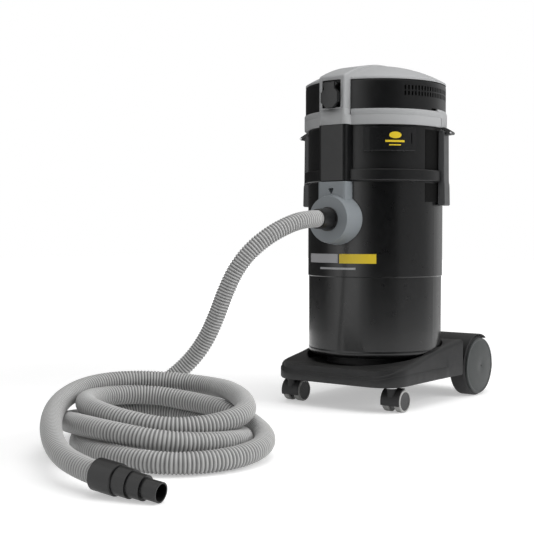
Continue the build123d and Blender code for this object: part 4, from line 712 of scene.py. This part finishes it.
def vented_cover():
    """The cover's wall: a curved sheet with two rows of slots on each side and notches over the latches."""
    vents = [VENT_START + VENT_PITCH * i for i in range(int((VENT_END - VENT_START) / VENT_PITCH) + 1)]
    vents += [-angle for angle in vents]
    edges = {SPINE_HALF, 360 - SPINE_HALF}
    edges.update((vent + side * VENT_HALF) % 360 for vent in vents for side in (-1, 1))
    edges.update((latch + side * NOTCH_HALF) % 360 for latch in LATCHES.values() for side in (-1, 1))
    cuts = sorted(edges)
    angles = [angle for pair in zip(cuts, cuts[1:]) for angle in spaced(*pair, 2.0)[:-1]]
    angles.append(cuts[-1])
    shape = bmesh.new()
    grid = [
        [shape.verts.new(around(radius, angle, height)) for height, radius in COVER_ROWS] for angle in angles
    ]
    for i, (first, second) in enumerate(zip(angles, angles[1:])):
        middle = (first + second) / 2
        turned = middle - 360 if middle > 180 else middle
        slotted = any(abs(turned - vent) < VENT_HALF for vent in vents)
        notched = any(abs(turned - latch) < NOTCH_HALF for latch in LATCHES.values())
        for k in range(len(COVER_ROWS) - 1):
            if (slotted and k in VENT_ROWS) or (notched and k == NOTCH_ROW):
                continue
            shape.faces.new((grid[i][k], grid[i + 1][k], grid[i + 1][k + 1], grid[i][k + 1]))
    loose = [point for point in shape.verts if not point.link_faces]
    bmesh.ops.delete(shape, geom=loose, context="VERTS")
    return thickened(meshed(shape), COVER_WALL)


def flap_shell():
    """The socket's flap: an eight-sided lid with a neck up to its pin and a rounded front."""
    return skinned([
        [
            Vector((x * share * MM, AXIS_Y - reach * MM, (FLAP_MIDDLE + (z - FLAP_MIDDLE) * share) * MM))
            for x, z in FLAP_OUTLINE
        ]
        for reach, share in FLAP_LAYERS
    ], crease=30)


class VACUUM_OT_head(bpy.types.Operator):
    """Make the ring, the vented cover, the cap and the socket's flap"""

    bl_idname = "vacuum.head"
    bl_label = "Head"

    def execute(self, context):
        for name, node, move in (("ring", "head_ring", without_lugs), ("cap", "top_cap", lower_dome)):
            piece = new_piece(name, reshaped(node, move), "grey_plastic")
            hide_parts(node)
        for i, (start, end) in enumerate(SKIN_ARCS):
            new_piece(f"ring_skin_{i}", wrapped(start, end, SKIN_PROFILE), "grey_plastic")
        # A dark sheet of painted shade behind the vent slots
        new_piece("vent_shade_sheet", wrapped(*VENT_SHADE_ARC, VENT_SHADE_PROFILE, step=3), "painted_shade_black")
        cover = new_piece("cover", vented_cover(), "black_plastic")
        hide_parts("head_cover")
        flap = new_piece("flap", flap_shell(), "gloss_black", "flap")
        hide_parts("socket_flap")
        return {"FINISHED"}


# ------------------------ chamber and latches
LABEL_START, LABEL_CLIP_END, LABEL_END = 22.5, 27.5, 65.0
LABEL_FACE, LABEL_CLIP_RISE = 176.0, 2.0
LABEL_FOOT, LABEL_CLIP_FOOT, LABEL_HEAD = 620.0, 618.0, 678.0
SLOT_START, SLOT_END, SLOT_FOOT, SLOT_HEAD, SLOT_DEPTH = 60.5, 61.8, 638.0, 664.0, 2.5
# How far inside the drum's face a thing laid on it begins
SUNK = 0.5


def label_mesh():
    """The plate beside the column, with a raised clip at its left end and a slot near its right end."""
    angles = [LABEL_START, LABEL_CLIP_END - 0.01, *spaced(LABEL_CLIP_END, SLOT_START - 0.01, 1.5)]
    angles += [SLOT_START, SLOT_END, *spaced(SLOT_END + 0.01, LABEL_END, 1.5)]
    loops = []
    for angle in angles:
        clip = angle < LABEL_CLIP_END
        face = LABEL_FACE + (LABEL_CLIP_RISE if clip else 0.0)
        deep = face - (SLOT_DEPTH if SLOT_START <= angle <= SLOT_END else 0.0)
        foot = LABEL_CLIP_FOOT if clip else LABEL_FOOT
        profile = (
            (DRUM_R - SUNK, foot), (face - 1.5, foot + 0.5), (face, foot + 2), (face, SLOT_FOOT),
            (deep, SLOT_FOOT + 0.2), (deep, SLOT_HEAD - 0.2), (face, SLOT_HEAD), (face, LABEL_HEAD - 1.5),
            (face - 1.5, LABEL_HEAD), (DRUM_R - SUNK, LABEL_HEAD),
        )
        loops.append(profiled(angle, profile))
    return skinned(loops)


# Painted shade: dark sheets laid on the drum beside and under the levers, standing in for the shade in the
# pocket and the recess there: angles before and after the latch, then radius and height
SHADE_LEAD, SHADE_TAIL = 26.0, 14.0
SHADE_SHEETS = {
    "pocket_shade": ((DRUM_R - SUNK, 579), (DRUM_R + 0.6, 579.5), (DRUM_R + 0.6, 675.5), (DRUM_R - SUNK, 676)),
    "recess": ((DRUM_R - SUNK, 500), (DRUM_R + 0.5, 500.5), (DRUM_R + 0.5, 546), (DRUM_R - SUNK, 546)),
}
# Height, half width, back and front of the lever, from its foot up
LEVER_LAYERS = (
    (493.0, 24.0, 174.0, 186.5), (495.5, 25.5, 171.5, 188.5), (538.0, 25.5, 171.5, 187.6),
    (546.0, 25.2, 171.5, 187.2), (550.0, 24.2, 171.5, 186.4), (560.0, 24.0, 171.5, 186.0),
    (668.0, 23.5, 171.5, 185.2), (674.0, 23.0, 171.5, 184.4), (677.0, 21.5, 173.0, 182.0),
)
LEVER_EDGE = 2.0
# Reach and height round the ring's ears and the lever's knuckle, which meet on the latch's pin
EARS = ((-14.0, -11.0), (11.0, 14.0))
EAR_OUTLINE = (
    (176, 685), (183, 685), (200, 674.9), (202.5, 672.6), (202.5, 669.6), (200, 667.4), (197, 668),
    (176, 680.5),
)
KNUCKLE_HALF = 10.6
KNUCKLE_OUTLINE = (
    (180, 665.4), (197, 667), (200, 667.4), (202.2, 669.2), (202.7, 671), (202.2, 673), (200, 674.6),
    (197, 674.8), (180, 674),
)
PIN_REACH, PIN_HEIGHT, PIN_R, PIN_HALF = 199.4, 671.0, 2.6, 15.0
PIN_OUTLINE = [
    (PIN_REACH + PIN_R * cos(radians(turn)), PIN_HEIGHT + PIN_R * sin(radians(turn)))
    for turn in range(0, 360, 20)
]


def lever_mesh(side):
    """A latch's lever: a flat bar that widens at its foot for the fingers."""
    loops = []
    for height, half, back, front in LEVER_LAYERS:
        outline = (
            (-half, back), (-half, front - LEVER_EDGE), (LEVER_EDGE - half, front),
            (half - LEVER_EDGE, front), (half, front - LEVER_EDGE), (half, back),
        )
        loops.append([in_plane(side, reach, across, height) for across, reach in outline])
    return skinned(loops)


def slab(side, outline, start, end):
    """A flat-sided block in a latch's own plane, from one place across to another."""
    return skinned([
        [in_plane(side, reach, across, height) for reach, height in outline] for across in (start, end)
    ])


class VACUUM_OT_latches(bpy.types.Operator):
    """Make the chamber's label plate, the dark sheets of painted shade beside and under the latches, and the
    levers
    """

    bl_idname = "vacuum.latches"
    bl_label = "Latches and label"

    def execute(self, context):
        label = new_piece("label", label_mesh(), "gloss_black")
        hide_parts("label_plate")
        for side, angle in LATCHES.items():
            lever = new_piece(f"lever_{side}", lever_mesh(side), "lever_plastic", f"latch_{side}")
            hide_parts(f"latch_lever_{side}")
            # The pocket and recess sheets are painted shade: a near-black colour laid over the drum beside
            # and under each lever
            for name, profile in SHADE_SHEETS.items():
                shade_sheet = wrapped(angle - SHADE_LEAD, angle + SHADE_TAIL, profile)
                new_piece(f"{name}_{side}", shade_sheet, "painted_shade_black")
            for i, across in enumerate(EARS):
                new_piece(f"ear_{side}_{i}", slab(side, EAR_OUTLINE, *across), "black_plastic")
            pin = new_piece(f"pin_{side}", slab(side, PIN_OUTLINE, -PIN_HALF, PIN_HALF), "bare_steel")
            if side == "right":
                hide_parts("latch_pins")
            knuckle = slab(side, KNUCKLE_OUTLINE, -KNUCKLE_HALF, KNUCKLE_HALF)
            new_piece(f"knuckle_{side}", knuckle, "lever_plastic", f"latch_{side}")
        return {"FINISHED"}


# ------------------------ trolley and wheels
DECK_REACH, DECK_HALF, DECK_CORNER, DECK_END = 205.0, 177.0, 66.0, 125.0
DECK_WAIST = 0.06
DECK_RECESS, DECK_UNDER, DECK_SHOULDER = 170.5, 62.5, 89.0
# Reach in front of the axis and height of the deck's top
DECK_TOP = ((207.0, 90.0), (170.5, 103.0), (85.0, 118.5), (0.0, 137.0), (-150.0, 158.0))
SKIRT_RISE, SKIRT_BACK, SKIRT_FADE = 2.0, 60.0, 8.0


def deck_reach(angle):
    """How far the deck's outline lies from the axis at an angle from the front."""
    turn = radians(abs(angle))
    side = DECK_HALF / max(1e-6, sin(turn) + DECK_WAIST * min(0.0, cos(turn)))
    front = DECK_REACH / cos(turn) if cos(turn) > 1e-6 else 2 * side
    reach = min(side, front)
    corner = Vector((DECK_HALF - DECK_CORNER, DECK_REACH - DECK_CORNER))
    aim = Vector((sin(turn), cos(turn)))
    edge = aim * reach
    if edge.x > corner.x and edge.y > corner.y:
        ahead = aim.dot(corner)
        reach = ahead + sqrt(ahead**2 - corner.length_squared + DECK_CORNER**2)
    return reach


def deck_height(reach):
    """Height of the deck's top edge at a reach in front of the axis."""
    for (near, low), (far, high) in zip(DECK_TOP, DECK_TOP[1:]):
        if reach >= far:
            share = min(1.0, max(0.0, (near - reach) / (near - far)))
            return low + (high - low) * share
    return DECK_TOP[-1][1]


def deck_mesh():
    """The trolley's deck: a soft-edged moulding round the drum's recess, with a proud skirt at the front."""
    loops = []
    for angle in spaced(-DECK_END, DECK_END, 2.0):
        ahead = cos(radians(angle))
        outer = deck_reach(angle)
        rim = deck_height(DECK_RECESS * ahead)
        edge = deck_height(outer * ahead)
        skirt = SKIRT_RISE * min(1.0, max(0.0, (SKIRT_BACK + outer * ahead) / SKIRT_FADE))
        shoulder = min(DECK_SHOULDER, edge - 12)
        profile = (
            (DECK_RECESS, DECK_UNDER + 4), (DECK_RECESS, rim - 2.5), (DECK_RECESS + 1, rim - 0.8),
            (DECK_RECESS + 3, rim), (outer - 13, deck_height((outer - 13) * ahead)), (outer - 7, edge - 1.2),
            (outer - 2.6, edge - 4), (outer - 0.6, edge - 8), (outer, edge - 11.5), (outer, shoulder + 1.2),
            (outer + skirt * 0.8, shoulder), (outer + skirt, shoulder - 1.2), (outer + skirt, DECK_UNDER + 3),
            (outer + skirt - 2.5, DECK_UNDER), (DECK_RECESS + 4, DECK_UNDER),
        )
        loops.append(profiled(angle, profile))
    return skinned(loops, crease=40)


# A hub cap's radius and its reach from the machine's middle
HUB_PROFILE = (
    (2.0, 184.0), (2.0, 190.0), (3.0, 190.4), (28.0, 189.8), (50.0, 188.2), (62.0, 186.6), (66.5, 185.8),
    (67.5, 186.6), (69.5, 187.2), (71.5, 186.8), (72.5, 185.4), (72.5, 181.8), (60.0, 181.8), (59.0, 183.2),
    (30.0, 184.0),
)
# Radius and height of the drum's foot
FOOT_PROFILE = (
    (167.3, 138.5), (167.7, 137.5), (167.7, 131), (166.6, 126.5), (163.2, 122.6), (158, 121), (150, 121),
    (150, 125), (160, 126), (165, 135), (165, 138.5),
)


class VACUUM_OT_trolley(bpy.types.Operator):
    """Make the trolley's deck, the drum's rounded foot and the hub caps"""

    bl_idname = "vacuum.trolley"
    bl_label = "Trolley"

    def execute(self, context):
        new_piece("deck", deck_mesh(), "soft_black")
        loops = [profiled(turn, FOOT_PROFILE) for turn in spaced(0, 360, 2.5)[:-1]]
        new_piece("drum_foot", skinned(loops, closed=True), "drum_paint")
        for side, sign in (("left", -1), ("right", 1)):
            loops = []
            for turn in spaced(0, 2 * pi, radians(4))[:-1]:
                back, up = cos(turn), sin(turn)
                places = [(sign * x, WHEEL_Y + r * back, WHEEL_Z + r * up) for r, x in HUB_PROFILE]
                loops.append([Vector(place) * MM for place in places])
            disc = skinned(loops, closed=True)
            cap = new_piece(f"wheel_disc_{side}", disc, "hub_plastic", f"wheel_{side}")
            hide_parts(f"hub_cap_{side}")
        return {"FINISHED"}


# ------------------------ printed marks
# Name, material, radius, first and last angle, foot and head
PRINTS = (
    ("drum_bar_pale", "pale_print", DRUM_R, -38, 0, 352, 374),
    ("drum_bar_yellow", "yellow_print", DRUM_R, 1.5, 33, 351, 374),
    ("drum_line", "pale_print", DRUM_R, -20, 16, 336, 341),
    ("label_bar_wide", "yellow_print", LABEL_FACE, 39.5, 55, 641, 646),
    ("label_bar_slim", "yellow_print", LABEL_FACE, 42.5, 52, 633, 636),
)
PRINT_SUNK, PRINT_THICK = 0.2, 0.35
# The oval mark on the label: its middle and half width as angles, its height and half height
DOT_MIDDLE, DOT_HALF, DOT_HEIGHT, DOT_RISE = 47.5, 5.0, 658.0, 8.0


def print_profile(radius, foot, head):
    """A thin band on a round face, begun a little inside it."""
    inner, outer = radius - PRINT_SUNK, radius + PRINT_THICK
    return (inner, foot), (outer, foot), (outer, head), (inner, head)


class VACUUM_OT_prints(bpy.types.Operator):
    """Lay plain printed bars on the drum and the label plate"""

    bl_idname = "vacuum.prints"
    bl_label = "Printed bars"

    def execute(self, context):
        for name, material, radius, start, end, foot, head in PRINTS:
            new_piece(name, wrapped(start, end, print_profile(radius, foot, head), step=1.0), material)
        loops = []
        for share in spaced(-0.98, 0.98, 0.1):
            rise = DOT_RISE * sqrt(1 - share * share)
            profile = print_profile(LABEL_FACE, DOT_HEIGHT - rise, DOT_HEIGHT + rise)
            loops.append(profiled(DOT_MIDDLE + DOT_HALF * share, profile))
        new_piece("label_dot", skinned(loops), "yellow_print")
        return {"FINISHED"}


# ------------------------ studio
SENSOR_WIDTH, CLIP_NEAR, CLIP_FAR = 36, 0.05, 60
FLOOR_REACH = 14.0
# The floor's glow over the distance from the machine
FLOOR_GLOW = {"From Min": 1.0, "From Max": 3.2, "To Min": 0.40, "To Max": 1.0}
CARD_REACH, CARD_STEPS, CARD_HEIGHTS = 1.9, 120, (0.005, 3.0)
# Brightness of the cards by bearing in degrees, from the machine's front towards its right
CARD_LEVELS = (
    (-180, 0.5), (-150, 0.25), (-125, 0.05), (-60, 0.06), (-42, 0.6), (-30, 1.25), (2, 1.25), (14, 0.45),
    (28, 0.0), (62, 0.0), (76, 0.32), (120, 0.36), (142, 0.6), (165, 0.8), (180, 0.5),
)
# Name, place, width and height, and power of each lamp; both aim at one place
LAMPS = (("lamp_top", (0.5, -0.4, 3.2), (2.6, 2.6), 46), ("lamp_right", (3.0, 0.6, 1.6), (2.2, 2.6), 62))
LAMP_AIM = Vector((0, -0.3, 0.4))


def card_level(bearing):
    """Brightness of the cards at a bearing."""
    for (before, low), (after, high) in zip(CARD_LEVELS, CARD_LEVELS[1:]):
        if bearing <= after:
            share = (bearing - before) / (after - before)
            return low + (high - low) * share * share * (3 - 2 * share)
    return CARD_LEVELS[-1][1]


def background_rays(tree):
    """1 for the rays that see the white room: from the camera, off gloss and through glass."""
    rays = tree.nodes.new("ShaderNodeLightPath").outputs
    seen = math_node(tree, "MAXIMUM", rays["Is Camera Ray"], rays["Is Glossy Ray"])
    return math_node(tree, "MAXIMUM", seen, rays["Is Transmission Ray"])


class VACUUM_OT_studio(bpy.types.Operator):
    """Set up the floor, the light and the camera"""

    bl_idname = "vacuum.studio"
    bl_label = "Studio"

    def execute(self, context):
        looks = context.scene.vacuum_studio
        scene = context.scene
        view = bpy.data.cameras.new("camera")
        view.lens = looks.lens
        view.sensor_width, view.clip_start, view.clip_end = SENSOR_WIDTH, CLIP_NEAR, CLIP_FAR
        eye = in_scene("camera", view)
        eye.location = looks.place
        eye.rotation_euler = (pi / 2 - looks.pitch, 0, looks.yaw)
        scene.camera = eye
        scene.view_settings.view_transform = "Standard"
        self.floor()
        scene.world = self.world(looks.ambient)
        self.cards(looks.cards)
        self.lamps(looks.softboxes)
        return {"FINISHED"}

    def floor(self):
        """A wide pale floor that stays white to the camera and keeps the shadow."""
        mesh = bpy.data.meshes.new("floor")
        corners = ((-1, -1), (1, -1), (1, 1), (-1, 1))
        mesh.from_pydata([(x * FLOOR_REACH, y * FLOOR_REACH, 0) for x, y in corners], [], [(0, 1, 2, 3)])
        floor = in_scene("floor", mesh)
        material = bpy.data.materials.new("floor_paint")
        tree, surface = bare_tree(material)
        lit = added(tree, "ShaderNodeBsdfDiffuse", {"Color": (0.8, 0.8, 0.8, 1)}).outputs[0]
        place = added(tree, "ShaderNodeTexCoord").outputs["Object"]
        away = added(tree, "ShaderNodeVectorMath", {0: place}, operation="LENGTH").outputs["Value"]
        values = {"Value": away, **FLOOR_GLOW}
        rise = added(tree, "ShaderNodeMapRange", values, interpolation_type="SMOOTHSTEP")
        glow = added(tree, "ShaderNodeEmission", {"Strength": rise.outputs[0]}).outputs[0]
        glowing = added(tree, "ShaderNodeAddShader", {0: lit, 1: glow}).outputs[0]
        pick = added(tree, "ShaderNodeMixShader", {0: background_rays(tree), 1: lit, 2: glowing})
        tree.links.new(pick.outputs[0], surface)
        mesh.materials.append(material)

    def world(self, even):
        """Even light on the object, and a white room to the camera, in gloss and through glass."""
        world = bpy.data.worlds.new("studio")
        tree, surface = bare_tree(world, "ShaderNodeOutputWorld")
        lights = [
            added(tree, "ShaderNodeBackground", {"Color": (1, 1, 1, 1), "Strength": strength}).outputs[0]
            for strength in (even, 1.0)
        ]
        pick = added(tree, "ShaderNodeMixShader", enumerate((background_rays(tree), *lights)))
        tree.links.new(pick.outputs[0], surface)
        return world

    def cards(self, strength):
        """A ring of dark and bright cards that only gloss surfaces see, each fading into the next."""
        mesh = bpy.data.meshes.new("cards")
        bearings = [-180 + 360 * step / CARD_STEPS for step in range(CARD_STEPS)]
        corners = [(CARD_REACH * sin(radians(b)), AXIS_Y - CARD_REACH * cos(radians(b))) for b in bearings]
        places = [(x, y, z) for z in CARD_HEIGHTS for x, y in corners]
        ends = [(i, (i + 1) % CARD_STEPS) for i in range(CARD_STEPS)]
        mesh.from_pydata(places, [], [(i, j, CARD_STEPS + j, CARD_STEPS + i) for i, j in ends])
        level = mesh.attributes.new("level", "FLOAT", "POINT")
        for i, bearing in enumerate(bearings * 2):
            level.data[i].value = strength * card_level(bearing)
        cards = in_scene("cards", mesh)
        material = bpy.data.materials.new("cards")
        tree, surface = bare_tree(material)
        read = added(tree, "ShaderNodeAttribute", attribute_name="level")
        glow = added(tree, "ShaderNodeEmission", {"Strength": read.outputs["Fac"]})
        tree.links.new(glow.outputs[0], surface)
        mesh.materials.append(material)
        for ray in ("camera", "diffuse", "shadow", "transmission"):
            setattr(cards, f"visible_{ray}", False)

    def lamps(self, strength):
        """Two soft lamps: one above and one to the right."""
        for name, place, size, power in LAMPS:
            light = bpy.data.lights.new(name, "AREA")
            light.shape = "RECTANGLE"
            light.size, light.size_y = size
            light.energy = power * strength
            lamp = in_scene(name, light)
            lamp.location = place
            lamp.visible_glossy = False
            lamp.rotation_euler = (LAMP_AIM - Vector(place)).to_track_quat("-Z", "Y").to_euler()


# ------------------------ panel and registration
STEPS = (
    VACUUM_OT_studio, VACUUM_OT_finishes, VACUUM_OT_hose, VACUUM_OT_trolley, VACUUM_OT_latches,
    VACUUM_OT_head, VACUUM_OT_prints,
)
SETTINGS = {"vacuum_hose": HoseLooks, "vacuum_body": BodyLooks, "vacuum_studio": StudioLooks}


class VACUUM_PT_panel(bpy.types.Panel):
    """The steps that dress the vacuum, in order"""

    bl_label = "Shop vacuum"
    bl_idname = "VACUUM_PT_panel"
    bl_space_type = "VIEW_3D"
    bl_region_type = "UI"
    bl_category = "Shop vacuum"

    def draw(self, context):
        for step in STEPS:
            self.layout.operator(step.bl_idname)
        for group in SETTINGS:
            looks = getattr(context.scene, group)
            for label in looks.__annotations__:
                self.layout.prop(looks, label)


CLASSES = (*SETTINGS.values(), *STEPS, VACUUM_PT_panel)


def register():
    """Make the classes and their settings known."""
    for item in CLASSES:
        bpy.utils.register_class(item)
    for name, settings in SETTINGS.items():
        setattr(bpy.types.Scene, name, bpy.props.PointerProperty(type=settings))


def unregister():
    """Take the classes and their settings out again."""
    for name in SETTINGS:
        delattr(bpy.types.Scene, name)
    for item in reversed(CLASSES):
        bpy.utils.unregister_class(item)


def main():
    """Dress the whole machine."""
    register()
    for step in STEPS:
        getattr(bpy.ops.vacuum, step.bl_idname.split(".")[1])()


if __name__ == "__main__":
    main()
